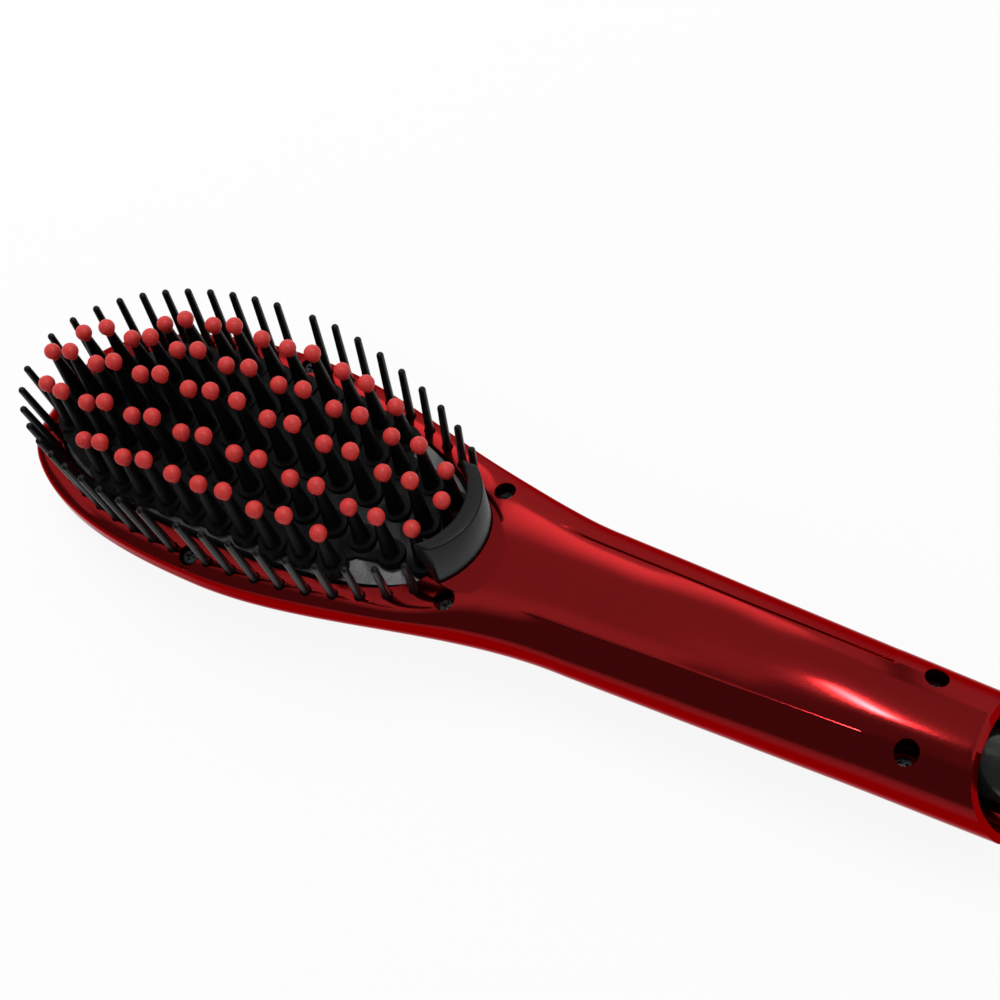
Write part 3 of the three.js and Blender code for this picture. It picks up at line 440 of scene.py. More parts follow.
def join_objects(name, objects):
    """One object holding the meshes of several, which are removed."""
    bm = bmesh.new()
    for obj in objects:
        bm.from_mesh(obj.data)
    mesh = bpy.data.meshes.new(name)
    bm.to_mesh(mesh)
    bm.free()
    for material in objects[0].data.materials:
        mesh.materials.append(material)
    for obj in objects:
        bpy.data.objects.remove(obj)
    return new_object(name, mesh)


def take_normals(obj, reference, within_degrees=30, near=2e-5):
    """Gives the faces that lie on the uncut skin that skin's smooth normals.

    So the cuts leave no creases in the reflections.
    """
    bm = bmesh.new()
    bm.from_mesh(reference.data)
    bmesh.ops.triangulate(bm, faces=bm.faces)
    bm.normal_update()
    tree = BVHTree.FromBMesh(bm)
    bm.faces.ensure_lookup_table()
    mesh = obj.data
    normals = [Vector(n.vector) for n in mesh.corner_normals]
    limit = math.cos(math.radians(within_degrees))
    for polygon in mesh.polygons:
        polygon.use_smooth = True
        for corner in polygon.loop_indices:
            place = mesh.vertices[mesh.loops[corner].vertex_index].co
            found, _, index, distance = tree.find_nearest(place)
            own = polygon.normal
            normals[corner] = own
            if found is None or distance > near:
                continue
            face = bm.faces[index]
            weights = barycentric(found, [v.co for v in face.verts])
            skin = sum((v.normal * w for v, w in zip(face.verts, weights)), Vector())
            if skin.length > 0 and skin.normalized().dot(own) > limit:
                normals[corner] = skin.normalized()
    mesh.normals_split_custom_set(normals)
    bm.free()


def barycentric(place, corners):
    a, b, c = corners
    v0, v1, v2 = b - a, c - a, place - a
    d00, d01, d11, d20, d21 = v0.dot(v0), v0.dot(v1), v1.dot(v1), v2.dot(v0), v2.dot(v1)
    bottom = d00 * d11 - d01 * d01
    if abs(bottom) < 1e-24:
        return (1 / 3, 1 / 3, 1 / 3)
    v = (d11 * d20 - d01 * d21) / bottom
    w = (d00 * d21 - d01 * d20) / bottom
    return (1 - v - w, v, w)


def prism(name, outline, z0, z1):
    """An outline of x, y points raised from one height to another."""
    low = [(x, y, z0) for x, y in outline]
    high = [(x, y, z1) for x, y in outline]
    return closed_loft(name, [np.array(low, float), np.array(high, float)])


def turns(sides):
    return np.linspace(0, 2 * math.pi, sides, endpoint=False)


def circle(x, y, r, sides):
    turn = turns(sides)
    return np.column_stack([x + r * np.cos(turn), y + r * np.sin(turn)])


def turned(name, profile, x, y, sides, material):
    """A closed upright round body at x, y: profile holds (radius, height) from end to end."""
    rings = [np.column_stack([circle(x, y, max(r, 1e-3), sides), np.full(sides, z)]) for r, z in profile]
    return closed_loft(name, rings, material)


def oval(shape, grow, sides):
    """Points of an oval with its own heel and nose halves."""
    c, s = np.cos(turns(sides)), np.sin(turns(sides))
    length = np.where(c > 0, shape["heel"][0], shape["nose"][0]) + grow
    power = np.where(c > 0, shape["heel"][1], shape["nose"][1])
    x = OVAL_X + length * np.sign(c) * np.abs(c) ** (2 / power)
    y = (shape["half_width"] + grow) * np.sign(s) * np.abs(s) ** (2 / power)
    return np.column_stack([x, y])


def oval_half_width(shape, grow, x):
    length, power = shape["nose"] if x < OVAL_X else shape["heel"]
    return (shape["half_width"] + grow) * float(rounded(min(abs(x - OVAL_X) / (length + grow), 1), power))


def ball_z(x, y):
    return DOME_Z - DOME_ALONG_X * (x - DOME_X) ** 2 - DOME_ALONG_Y * y * y


def pad_z(x, y):
    return ball_z(x, y) - PIN_LENGTH


def plate_z(x, y):
    return pad_z(x, y) - PAD_THICK


def ring_face_z(x):
    return RING_FACE_Z - RING_FACE_FALL * (x - RING_FACE_X) ** 2


# Materials


def new_material(name):
    material = bpy.data.materials.new(name)
    material.use_nodes = True
    tree = material.node_tree
    return material, tree, tree.nodes["Principled BSDF"]


def add_node(tree, kind, **inputs):
    node = tree.nodes.new(kind)
    for key, value in inputs.items():
        node.inputs[key.replace("_", " ")].default_value = value
    return node


def object_noise(tree, scale, detail=3.0):
    """Noise on Object coordinates, with so many features to the metre."""
    coords = tree.nodes.new("ShaderNodeTexCoord")
    noise = add_node(tree, "ShaderNodeTexNoise", Scale=scale, Detail=detail)
    tree.links.new(coords.outputs["Object"], noise.inputs["Vector"])
    return noise


# The range in which nearly all of the noise lies
NOISE_LOW, NOISE_HIGH = 0.3, 0.7


def map_range(tree, source, low, high):
    node = add_node(
        tree, "ShaderNodeMapRange", From_Min=NOISE_LOW, From_Max=NOISE_HIGH, To_Min=low, To_Max=high
    )
    tree.links.new(source, node.inputs["Value"])
    return node.outputs["Result"]


def add_bump(tree, shader, source, strength, distance):
    bump = add_node(tree, "ShaderNodeBump", Strength=strength, Distance=distance)
    tree.links.new(source, bump.inputs["Height"])
    tree.links.new(bump.outputs["Normal"], shader.inputs["Normal"])


def colour_between(tree, shader, source, dark, light):
    ramp = tree.nodes.new("ShaderNodeValToRGB")
    steps = zip(ramp.color_ramp.elements, (NOISE_LOW, NOISE_HIGH), (dark, light))
    for element, place, colour in steps:
        element.position = place
        element.color = (*colour, 1)
    tree.links.new(source, ramp.inputs["Fac"])
    tree.links.new(ramp.outputs["Color"], shader.inputs["Base Color"])


def finish(
    name, dark, light, roughness, metallic=0.0, grain=900.0, bump=0.0, depth=2e-5, spread=0.06, **sockets
):
    """A finish whose colour, roughness and grain vary a little over the surface."""
    material, tree, shader = new_material(name)
    noise = object_noise(tree, grain)
    colour_between(tree, shader, noise.outputs["Fac"], dark, light)
    rough = map_range(tree, noise.outputs["Fac"], max(roughness - spread, 0.02), roughness + spread)
    tree.links.new(rough, shader.inputs["Roughness"])
    shader.inputs["Metallic"].default_value = metallic
    for socket, value in sockets.items():
        shader.inputs[socket.replace("_", " ")].default_value = value
    if bump:
        add_bump(tree, shader, noise.outputs["Fac"], bump, depth)
    return material


RED = finish(
    "red_metallic_lacquer", (0.20, 0.0085, 0.0095), (0.23, 0.0105, 0.0115), 0.12, 1.0,
    grain=6000, spread=0.012, Specular_Tint=(0.8, 0.4, 0.41, 1),
)
BLACK = finish(
    "black_satin_moulding", (0.0045, 0.0045, 0.005), (0.008, 0.008, 0.0085), 0.36,
    grain=4000, bump=0.12, Specular_IOR_Level=0.16,
)
BRISTLE = finish(
    "black_bristle_nylon", (0.0025, 0.0025, 0.0028), (0.005, 0.005, 0.0055), 0.4,
    grain=3000, bump=0.1, Specular_IOR_Level=0.1,
)
TIP = finish(
    "red_ball_tip", (0.60, 0.032, 0.028), (0.68, 0.042, 0.037), 0.42, grain=1500, bump=0.08,
    Specular_IOR_Level=0.3, Subsurface_Weight=0.1, Subsurface_Scale=0.001,
)
PLATE = finish("cast_aluminium", (0.1, 0.1, 0.103), (0.19, 0.19, 0.195), 0.45, 1.0, grain=2500, bump=0.35)
# Near-black finish for the side walls of the heated plate: painted shade where the walls lie in shadow
PLATE_SIDE_SHADE = finish("plate_side_painted_shade", (0.008, 0.008, 0.008), (0.016, 0.016, 0.016), 0.5, grain=3000, bump=0.2)
GLOSS_BLACK = finish(
    "polished_black", (0.008, 0.009, 0.009), (0.012, 0.013, 0.013), 0.16, grain=2000, spread=0.03
)
STEEL = finish("zinc_plated_steel", (0.38, 0.39, 0.4), (0.52, 0.53, 0.54), 0.32, 1.0, grain=3000, bump=0.1)
# Near-black screw finish: painted shade for the screws deep in their wells
SCREW_IN_WELL_SHADE = finish("screw_painted_well_shade", (0.03, 0.03, 0.032), (0.06, 0.06, 0.063), 0.4, 1.0, grain=3000, bump=0.1)
BRASS = finish("bright_brass", (0.60, 0.42, 0.16), (0.70, 0.52, 0.22), 0.28, 1.0, grain=2500)
CERAMIC = finish("fired_ceramic", (0.70, 0.67, 0.60), (0.80, 0.78, 0.72), 0.7, grain=3500, bump=0.3)
CREAM = finish("natural_moulding", (0.52, 0.44, 0.30), (0.62, 0.53, 0.38), 0.6, grain=2000, bump=0.2)
BOARD = finish("solder_mask", (0.02, 0.14, 0.06), (0.035, 0.20, 0.09), 0.45, grain=1200, bump=0.1)
BUTTON = finish("satin_button", (0.022, 0.022, 0.024), (0.032, 0.032, 0.034), 0.4, grain=4000, bump=0.15)
SLEEVE = finish("silicone_sleeve", (0.55, 0.53, 0.47), (0.64, 0.62, 0.56), 0.5, grain=2500, bump=0.15)
GLASS = finish("dark_window", (0.006, 0.007, 0.009), (0.010, 0.011, 0.014), 0.08, grain=800, spread=0.02)

SLOT_FINISHES = {
    "red_metallic": RED, "black_plastic": BLACK, "black_bristle": BRISTLE, "red_tips": TIP,
    "plate_aluminium": PLATE, "ceramic": CERAMIC, "steel": STEEL, "cream_plastic": CREAM,
    "brass": BRASS, "gloss_black": GLOSS_BLACK, "display_glass": GLASS, "board_green": BOARD,
    "button_black": BUTTON, "lead_insulation": SLEEVE,
}


def dress_cad_nodes():
    """Every CAD node gets the finish of its slot in the record."""
    for part in frame["record"]["subparts"]:
        node = frame["nodes"].get(part["node"])
        if node is None:
            continue
        node.data.materials.clear()
        node.data.materials.append(SLOT_FINISHES[part["material_slot"]])


def settle(obj, slot, *nodes, body=BODY):
    """The piece rides a body and stands for these CAD nodes; the slot it is given is not used."""
    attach(obj, body)
    if nodes:
        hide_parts(*nodes)
    return obj


# Shells


STATION_STEP = 1.6
END_STRETCH = 23.0


def shell_stations():
    """Places of the cross-sections along X, closer at the nose and where the panel stops."""
    nose = NOSE_X + (HEAD_MID_X - NOSE_X) * (1 - np.cos(np.linspace(0, math.pi / 2, 54)))
    rest = np.arange(HEAD_MID_X + STATION_STEP, END_X - END_STRETCH - 1, STATION_STEP)
    stop = np.linspace(*PANEL_STOP, 5)
    end = np.linspace(END_X - END_STRETCH, END_X, 16)
    return np.unique(np.round(np.concatenate([nose, rest, stop, end]), 3))


def half_shell(name, upper):
    """One moulded half: outer and inner skin, joined along the seam, round the nose and at the end."""
    count = RING_STEPS
    rings = []
    for x in shell_stations():
        inner_x = NOSE_X + WALL + (x - NOSE_X) * (END_X - NOSE_X - WALL) / (END_X - NOSE_X)
        outer = section(float(x), 0.0, upper)
        inner = section(float(inner_x), WALL, upper)
        rings.append(np.vstack([outer, inner[::-1]]))
    size = 2 * (count + 1)
    faces = loft_faces(len(rings), size)
    last = (len(rings) - 1) * size
    faces.append(tuple(range(size)))
    faces += [(last + i, last + i + 1, last + size - 2 - i, last + size - 1 - i) for i in range(count)]
    return closed_object(name, rings, faces, RED)


def cut_shell(name, upper, cutter):
    """A moulded half with its openings, shaded as if it were still whole."""
    shell = half_shell(name, upper)
    uncut = shell.copy()
    uncut.data = shell.data.copy()
    shell = cut(shell, [cutter])
    take_normals(shell, uncut)
    bpy.data.objects.remove(uncut)
    return shell


FOOT_STEP = 0.01


def tooth_feet():
    """Places of the teeth, stepped along the comb's oval on one side and mirrored."""
    feet = []
    for row in (HEEL_TEETH, NOSE_TEETH):
        x = row["from_x"]
        for _ in range(row["count"]):
            foot = (x, oval_half_width(RING, 0, x))
            feet.append(foot)
            while math.dist((x, oval_half_width(RING, 0, x)), foot) < row["pitch"]:
                if x <= OVAL_X - RING["nose"][0]:
                    break
                x -= FOOT_STEP
    return feet + [(x, -y) for x, y in feet]


FEET = tooth_feet()
WELLS = [
    (x, side * y, (float(ring_face_z(x)) if where == "head" else float(shell_top_z(x, y))) - depth)
    for where, (x, y, depth) in SCREWS.items()
    for side in (1, -1)
]


CUT_TOP_Z = 60
TOOTH_HOLE_FLOOR_Z = 0.5


def make_front_shell():
    cutters = [prism("opening", oval(OPENING, 0, 128), -10, CUT_TOP_Z)]
    cutters += [
        prism("hole", circle(x, y, TOOTH_HOLE_R, 14), TOOTH_HOLE_FLOOR_Z, CUT_TOP_Z) for x, y in FEET
    ]
    cutters += [prism("well", circle(x, y, WELL_R, 28), floor, CUT_TOP_Z) for x, y, floor in WELLS]
    shell = cut_shell("front_shell_skin", True, join_objects("cutters", cutters))
    return settle(shell, "red_metallic", "front_shell")


def make_well_cups():
    """The tubes below the screw wells, with a ring of floor round each screw."""
    cups = []
    outside = WELL_R + CUP_WALL
    for x, y, floor in WELLS:
        low_cup = abs(y) > HEAD_SCREW_Y
        top = floor + CUP_FLOOR if low_cup else float(shell_top_z(x, abs(y) + outside)) - CUP_SINK
        profile = [
            (SCREW_HOLE_R, floor - CUP_FLOOR), (outside, floor - CUP_FLOOR), (outside, top),
            (WELL_R, top), (WELL_R, floor), (SCREW_HOLE_R, floor),
        ]
        cups.append(tube_ring("cup", profile, (x, y, 0), "Z", 28, RED))
    return settle(smooth_shade(join_objects("screw_well_cups", cups)), "red_metallic")


def tube_ring(name, profile, centre, axis, sides, material):
    """A round body with a hole through it: the closed profile of (radius, along) is swept round."""
    r, along = np.array(profile, float).T
    rings = []
    for angle in turns(sides):
        across = [r * math.cos(angle), r * math.sin(angle)]
        local = [along, *across] if axis == "X" else [*across, along]
        rings.append(np.column_stack(local) + np.array(centre))
    return closed_object(name, rings, swept_faces(sides, len(profile)), material)


def slot_outline(x0, x1, half, sides):
    """A strip with round ends."""
    turn = np.linspace(-math.pi / 2, math.pi / 2, sides)
    right = np.column_stack([x1 - half + half * np.cos(turn), half * np.sin(turn)])
    left = np.column_stack([x0 + half - half * np.cos(turn), -half * np.sin(turn)])
    return np.vstack([right, left])


def make_back_shell():
    outline = slot_outline(BEZEL_FROM - BEZEL_GAP, BEZEL_TO + BEZEL_GAP, BEZEL_HALF + BEZEL_GAP, 24)
    shell = cut_shell("back_shell_skin", False, prism("slot", outline, -5, 6))
    return settle(shell, "red_metallic", "back_shell")


# Heated plate, pad and bristles


def domed_slab(name, xs, reach, top, bottom, material, columns=40):
    """A closed slab whose half width follows X and whose faces follow two height laws."""
    rings = []
    for x in xs:
        half = max(reach(float(x)), 0.02)
        y = np.linspace(-half, half, columns + 1)
        upper = np.column_stack([np.full_like(y, x), y, top(x, y)])
        lower = np.column_stack([np.full_like(y, x), y, bottom(x, y)])[::-1]
        rings.append(np.vstack([upper, lower]))
    return closed_loft(name, rings, material)


def cosine_steps(x0, x1, count):
    return x0 + (x1 - x0) * (1 - np.cos(np.linspace(0, math.pi, count))) / 2


def make_heater_plate():
    grow = -PLATE_GAP
    xs = cosine_steps(OVAL_X - OPENING["nose"][0] - grow, OVAL_X + OPENING["heel"][0] + grow, 90)
    plate = domed_slab(
        "heated_plate", xs, lambda x: oval_half_width(OPENING, grow, x), plate_z,
        lambda x, y: np.full_like(y, PLATE_BOTTOM_Z), PLATE,
    )
    # The plate's side walls take the near-black finish as painted shade; its top and bottom stay aluminium
    plate.data.materials.append(PLATE_SIDE_SHADE)
    for face in plate.data.polygons:
        face.material_index = int(abs(face.normal.z) < 0.5)
    return settle(smooth_shade(plate), "plate_aluminium", "heater_plate")


def pin_places():
    """Place and height of each ball. The last ones of a row follow the oval inwards."""
    places = []
    for row, heights in enumerate(ROWS):
        for i, height in enumerate(heights):
            x = PIN_MID_X + (i - (len(heights) - 1) / 2) * PIN_PITCH
            from_end = min(i, len(heights) - 1 - i)
            inward = [END_INWARD[row], NEXT_INWARD[row], 0][min(from_end, 2)]
            lift = [END_LIFT[row], NEXT_LIFT[row], 0][min(from_end, 2)]
            y = row * ROW_PITCH
            top = float(ball_z(x, y)) + lift + float(np.polyval(ROW_LIFTS[row], x))
            top += TALL_EXTRA[row] if height == "t" else 0
            for side in (1, -1) if row else (1,):
                places.append((x + ROW_SHIFT, side * (y - inward), top))
    return places


def pad_reach(x):
    """Half width of the pad between its outermost bristles."""
    ends = [(len(heights) - 1) / 2 * PIN_PITCH for heights in ROWS]
    xs = [ends[2], ends[2] + PIN_PITCH / 2, ends[1], ends[0]]
    reach = float(np.interp(abs(x - PIN_MID_X), xs, [2 * ROW_PITCH, ROW_PITCH * 1.4, ROW_PITCH, 0.4]))
    lip = float(np.interp(x, PAD_LIP_XS, PAD_LIPS))
    to_edge = oval_half_width(OPENING, -PLATE_GAP - PAD_NOSE_GAP, x) if x < PAD_NOSE_X else 0
    return max(reach + lip, to_edge)


class NodeTree:
    """A Geometry Nodes tree in the making, with named inputs."""

    def __init__(self, name):
        self.tree = bpy.data.node_groups.new(name, "GeometryNodeTree")
        self.tree.interface.new_socket("Geometry", in_out="INPUT", socket_type="NodeSocketGeometry")
        self.tree.interface.new_socket("Geometry", in_out="OUTPUT", socket_type="NodeSocketGeometry")
        self.start = self.tree.nodes.new("NodeGroupInput")
        self.end = self.tree.nodes.new("NodeGroupOutput")

    def size(self, name, value):
        """A named input for a size."""
        socket = self.tree.interface.new_socket(name, in_out="INPUT", socket_type="NodeSocketFloat")
        socket.default_value = value
        return self.start.outputs[name]

    def add(self, kind, settings=None, **inputs):
        node = self.tree.nodes.new(kind)
        for key, value in (settings or {}).items():
            setattr(node, key, value)
        for key, value in inputs.items():
            self.feed(value, node.inputs[key.replace("_", " ")])
        return node

    def feed(self, value, socket):
        if isinstance(value, bpy.types.NodeSocket):
            self.tree.links.new(value, socket)
        else:
            socket.default_value = value

    def named(self, name, kind="FLOAT"):
        node = self.add("GeometryNodeInputNamedAttribute", {"data_type": kind}, Name=name)
        return node.outputs["Attribute"]

    def on_points(self, points, piece, **inputs):
        """One copy of a piece on each point."""
        inputs = {"Points": points, "Instance": piece.outputs["Mesh"], **inputs}
        return self.add("GeometryNodeInstanceOnPoints", **inputs).outputs[0]

    def multiply(self, a, b):
        node = self.tree.nodes.new("ShaderNodeMath")
        node.operation = "MULTIPLY"
        self.feed(a, node.inputs[0])
        self.feed(b, node.inputs[1])
        return node.outputs[0]

    def scaled(self, vector, by):
        node = self.tree.nodes.new("ShaderNodeVectorMath")
        node.operation = "SCALE"
        self.feed(vector, node.inputs[0])
        self.feed(by, node.inputs["Scale"])
        return node.outputs[0]

    def finish(self, parts, material):
        """Joins the parts, makes them real and gives them their finish."""
        joined = self.tree.nodes.new("GeometryNodeJoinGeometry")
        for part in parts:
            self.tree.links.new(part, joined.inputs[0])
        real = self.add("GeometryNodeRealizeInstances", Geometry=joined.outputs[0])
        smooth_faces = self.add("GeometryNodeSetShadeSmooth", Geometry=real.outputs[0])
        done = self.add("GeometryNodeSetMaterial", Geometry=smooth_faces.outputs[0], Material=material)
        self.tree.links.new(done.outputs[0], self.end.inputs[0])

    def run(self, obj):
        modifier = obj.modifiers.new("made_by_nodes", "NODES")
        modifier.node_group = self.tree
        apply_modifiers(obj)
        return obj


def stems_tree(name, material, root_r, tip_r, sides, boss=None):
    """Tapered stems with round tips: each point gives its foot, its axis and its length."""
    nodes = NodeTree(name)
    root = nodes.size("Root radius", root_r * MM)
    tip = nodes.size("Tip radius", tip_r * MM)
    axis, length = nodes.named("axis", "FLOAT_VECTOR"), nodes.named("length")
    points = nodes.start.outputs["Geometry"]
    upright = nodes.add("FunctionNodeAlignRotationToVector", {"axis": "Z"}, Vector=axis).outputs[0]
    stem = nodes.add(
        "GeometryNodeMeshCone", {"fill_type": "NONE"}, Vertices=sides, Side_Segments=6,
        Radius_Top=tip, Radius_Bottom=root, Depth=1.0,
    )
    stretch = nodes.add("ShaderNodeCombineXYZ", X=1.0, Y=1.0, Z=length).outputs[0]
    stems = nodes.on_points(points, stem, Rotation=upright, Scale=stretch)
    end = nodes.scaled(axis, length)
    moved = nodes.add("GeometryNodeSetPosition", Geometry=points, Offset=end).outputs[0]
    ball = nodes.add("GeometryNodeMeshUVSphere", Segments=sides, Rings=sides // 2, Radius=tip)
    parts = [stems, nodes.on_points(moved, ball)]
    if boss:
        radius = nodes.size("Boss radius", boss[0] * MM)
        height = nodes.size("Boss height", boss[1] * MM)
        disc = nodes.add(
            "GeometryNodeMeshCone", Vertices=28, Radius_Top=nodes.multiply(radius, 0.9),
            Radius_Bottom=radius, Depth=height,
        )
        parts.append(nodes.on_points(points, disc))
    nodes.finish(parts, material)
    return nodes


PINS = pin_places()


def make_bristles():
    feet = [(x, y, float(pad_z(x, y)) - PAD_THICK) for x, y, _ in PINS]
    lengths = [(top - foot[2] - BALL_R * STEM_STOP) * MM for foot, (_, _, top) in zip(feet, PINS)]
    points = carrying_mesh("bristle_stems", feet, axis=[(0, 0, 1)] * len(feet), length=lengths)
    tree = stems_tree("Bristle stems", BRISTLE, ROOT_R, NECK_R, 16, boss=(BOSS_R, PAD_THICK + BOSS_H))
    stems = tree.run(points)
    xs = np.linspace(PIN_MID_X - PAD_HALF_LENGTH, PIN_MID_X + PAD_HALF_LENGTH, 70)
    pad = domed_slab("pad", xs, pad_reach, pad_z, lambda x, y: pad_z(x, y) - PAD_THICK, BRISTLE, 24)
    piece = join_objects("bristle_pad", [pad, stems])
    return settle(smooth_shade(piece), "black_bristle", "pin_pad")


def make_tips():
    """The red balls on the bristles, each with a short collar where it grips its stem."""
    nodes = NodeTree("Ball tips")
    radius = nodes.size("Ball radius", BALL_R * MM)
    collar_h = nodes.size("Collar height", COLLAR_H * MM)
    points = nodes.start.outputs["Geometry"]
    ball = nodes.add("GeometryNodeMeshUVSphere", Segments=28, Rings=16, Radius=radius)
    balls = nodes.on_points(points, ball)
    collar = nodes.add(
        "GeometryNodeMeshCone", Vertices=20, Radius_Top=nodes.multiply(radius, COLLAR_TOP_R),
        Radius_Bottom=nodes.multiply(radius, COLLAR_FOOT_R), Depth=collar_h,
    )
    drop = (0, 0, -BALL_R * COLLAR_DROP * MM)
    lowered = nodes.add("GeometryNodeSetPosition", Geometry=points, Offset=drop).outputs[0]
    nodes.finish([balls, nodes.on_points(lowered, collar)], TIP)
    piece = nodes.run(carrying_mesh("bristle_ball_tips", PINS))
    return settle(smooth_shade(piece, 50), "red_tips")


# Comb


def tooth_axis(x, y):
    """The teeth lean out a little from the oval."""
    out = Vector(((x - OVAL_X) / RING["nose"][0] ** 2, y / RING["half_width"] ** 2, 0)).normalized()
    return Vector((out.x * math.sin(TOOTH_SPLAY), out.y * math.sin(TOOTH_SPLAY), math.cos(TOOTH_SPLAY)))


def make_comb():
    feet, axes, lengths = [], [], []
    for x, y in FEET:
        axis = tooth_axis(x, y)
        foot_z = float(ring_face_z(x)) - BAND_BELOW - BAND_THICK / 2
        run = BAND_BELOW + BAND_THICK / 2
        feet.append((x - axis.x * run, y - axis.y * run, foot_z))
        axes.append(tuple(axis))
        lengths.append((float(height_at(TOOTH_TIPS, x)) - foot_z - TOOTH_TIP_R) * MM)
    points = carrying_mesh("comb_teeth", feet, axis=axes, length=lengths)
    teeth = stems_tree("Comb teeth", BLACK, TOOTH_ROOT_R, TOOTH_TIP_R, 14).run(points)
    outer, inner = oval(RING, BAND_OUTSIDE, BAND_SIDES), oval(RING, -BAND_INSIDE, BAND_SIDES)
    rings = []
    for (ox, oy), (ix, iy) in zip(outer, inner):
        out_z, in_z = (float(ring_face_z(q)) - BAND_BELOW for q in (ox, ix))
        rings.append([
            (ox, oy, out_z), (ix, iy, in_z), (ix, iy, in_z - BAND_THICK), (ox, oy, out_z - BAND_THICK),
        ])
    band = closed_object("band", rings, swept_faces(BAND_SIDES, 4), BLACK)
    piece = join_objects("comb_ring_and_teeth", [band, teeth])
    return settle(smooth_shade(piece), "black_plastic", "comb_frame")


def guard_arc(radius, steps):
    """Places along the heel guard's arc."""
    turn = np.linspace(-GUARD_REACH, GUARD_REACH, steps)
    return [(GUARD["centre_x"] + radius * math.cos(t), radius * math.sin(t)) for t in turn]


def make_heel_guard():
    top_z = GUARD_TOP_Z
    rings = []
    for x, y in guard_arc(GUARD["radius"], 33):
        foot = float(shell_top_z(x, y)) - GUARD_SINK
        inner_foot = float(shell_top_z(x - GUARD["foot"], y)) - GUARD_SINK
        rings.append(np.array([
            (x, y, foot), (x, y, top_z), (x - GUARD["thick"], y, top_z),
            (x - GUARD["thick"], y, top_z - GUARD["lip"]), (x - GUARD["foot"], y, inner_foot),
        ]))
    guard = closed_loft("heel_guard_arc", rings, BLACK)
    return settle(soften(guard, 0.45, 30, 40), "black_plastic", "heel_guard")


# Screws, gland and controls


def make_screws():
    """Pan heads with a cross slot, seated on the floors of their wells."""
    heads = []
    for x, y, floor in WELLS:
        profile = [
            (0, floor - SHANK_LENGTH - 1), (SHANK_R, floor - SHANK_LENGTH), (SHANK_R, floor),
            (SCREW_HEAD_R, floor), (SCREW_HEAD_R, floor + SCREW_RIM_H),
            (SCREW_HEAD_R * 0.8, floor + SCREW_HEAD_H - 0.1), (0, floor + SCREW_HEAD_H),
        ]
        # The heads take the near-black finish, which is painted shade at the bottom of the wells
        head = turned("screw", profile, x, y, 28, SCREW_IN_WELL_SHADE)
        arms = []
        for a, b in ((CROSS_LONG, CROSS_SHORT), (CROSS_SHORT, CROSS_LONG)):
            outline = [(x - a, y - b), (x + a, y - b), (x + a, y + b), (x - a, y + b)]
            arms.append(prism("arm", outline, floor + CROSS_FLOOR, floor + 3))
        heads.append(cut(head, arms))
    names = [f"screw_{where}_{side}" for where in SCREWS for side in ("far", "near")]
    return settle(smooth_shade(join_objects("screws", heads), 30), "steel", *names)


def make_gland():
    """The domed cord swivel, with its spindle in the handle and a bell-mouthed bore."""
    axis_z = float(GLAND_LOW[2] + GLAND_HIGH[2]) / 2
    start, tip = float(GLAND_LOW[0]), float(GLAND_HIGH[0])
    dome_r = float(GLAND_HIGH[1])
    back = GLAND_BACK_X
    outer = [(SPINDLE_R, start), (SPINDLE_R, back), (dome_r, back)]
    for angle in np.linspace(0, math.pi / 2, 14):
        radius = GLAND_FLAT_R + (dome_r - GLAND_FLAT_R) * math.cos(angle)
        outer.append((radius, lerp(back + GLAND_EDGE, tip, math.sin(angle))))
    bore = [(BELL_R, tip), (BELL_MID_R, tip - 1.6), (BORE_R, tip - 3), (BORE_R, start)]
    gland = tube_ring("cord_swivel", outer + bore, (0, 0, axis_z), "X", 64, GLOSS_BLACK)
    return settle(smooth_shade(gland, 35), "gloss_black", "swivel_gland", body="swivel")


def window_outline(gap):
    across = WINDOW_ACROSS + gap
    return slot_outline(WINDOW_X - WINDOW_HALF - gap, WINDOW_X + WINDOW_HALF + gap, across, 16)


# Radius and height of the dished face of a key
KEY_DISH = [(0, 0.45), (2.2, 0.3), (3.4, 0.05), (3.8, 0), (4.1, 0.12), (4.2, 0.4)]


def make_controls():
    """Bezel, window and three keys in the back of the handle."""
    outline = slot_outline(BEZEL_FROM, BEZEL_TO, BEZEL_HALF, 24)
    bezel = prism("controls_bezel", outline, float(BEZEL_LOW[2]), float(BEZEL_HIGH[2]))
    bezel.data.materials.append(GLOSS_BLACK)
    cutters = [prism("hole", window_outline(WINDOW_GAP), -2, WINDOW_SEAT_Z)]
    cutters += [prism("hole", circle(x, 0, KEY_HOLE_R, 40), -2, 8) for x in KEY_XS.values()]
    settle(soften(cut(bezel, cutters), 0.25), "gloss_black", "control_bezel")
    glass_low, glass_high = box_mm("display_window")
    glass = prism("window_glass", window_outline(0), float(glass_low[2]), float(glass_high[2]))
    glass.data.materials.append(GLASS)
    settle(soften(glass, 0.2), "display_glass", "display_window")
    for name, x in KEY_XS.items():
        low, high = box_mm(f"{name}_button")
        cap, top = float(low[2]), float(high[2])
        profile = [(r, cap + rise) for r, rise in KEY_DISH]
        profile += [(4.2, 3.3), (5.2, 3.3), (5.2, 4.1), (1.5, 4.1), (1.5, top), (0, top)]
        key = turned(f"{name}_key_cap", profile, x, 0, 40, BUTTON)
        settle(smooth_shade(key, 35), "button_black", f"{name}_button", body=f"{name}_key")


# Stage, light and camera

FLOOR_REACH, FLOOR_Z = 6000, -0.4
FLOOR_WHITE, FLOOR_GLOW = 0.93, 0.9
WORLD_ON_OBJECT, WORLD_SEEN = 0.55, 1.0
LAMP = {"place": (-350, 320, 800), "aim": (20, 0, 20), "size": (0.5, 0.4), "watts": 4.0}


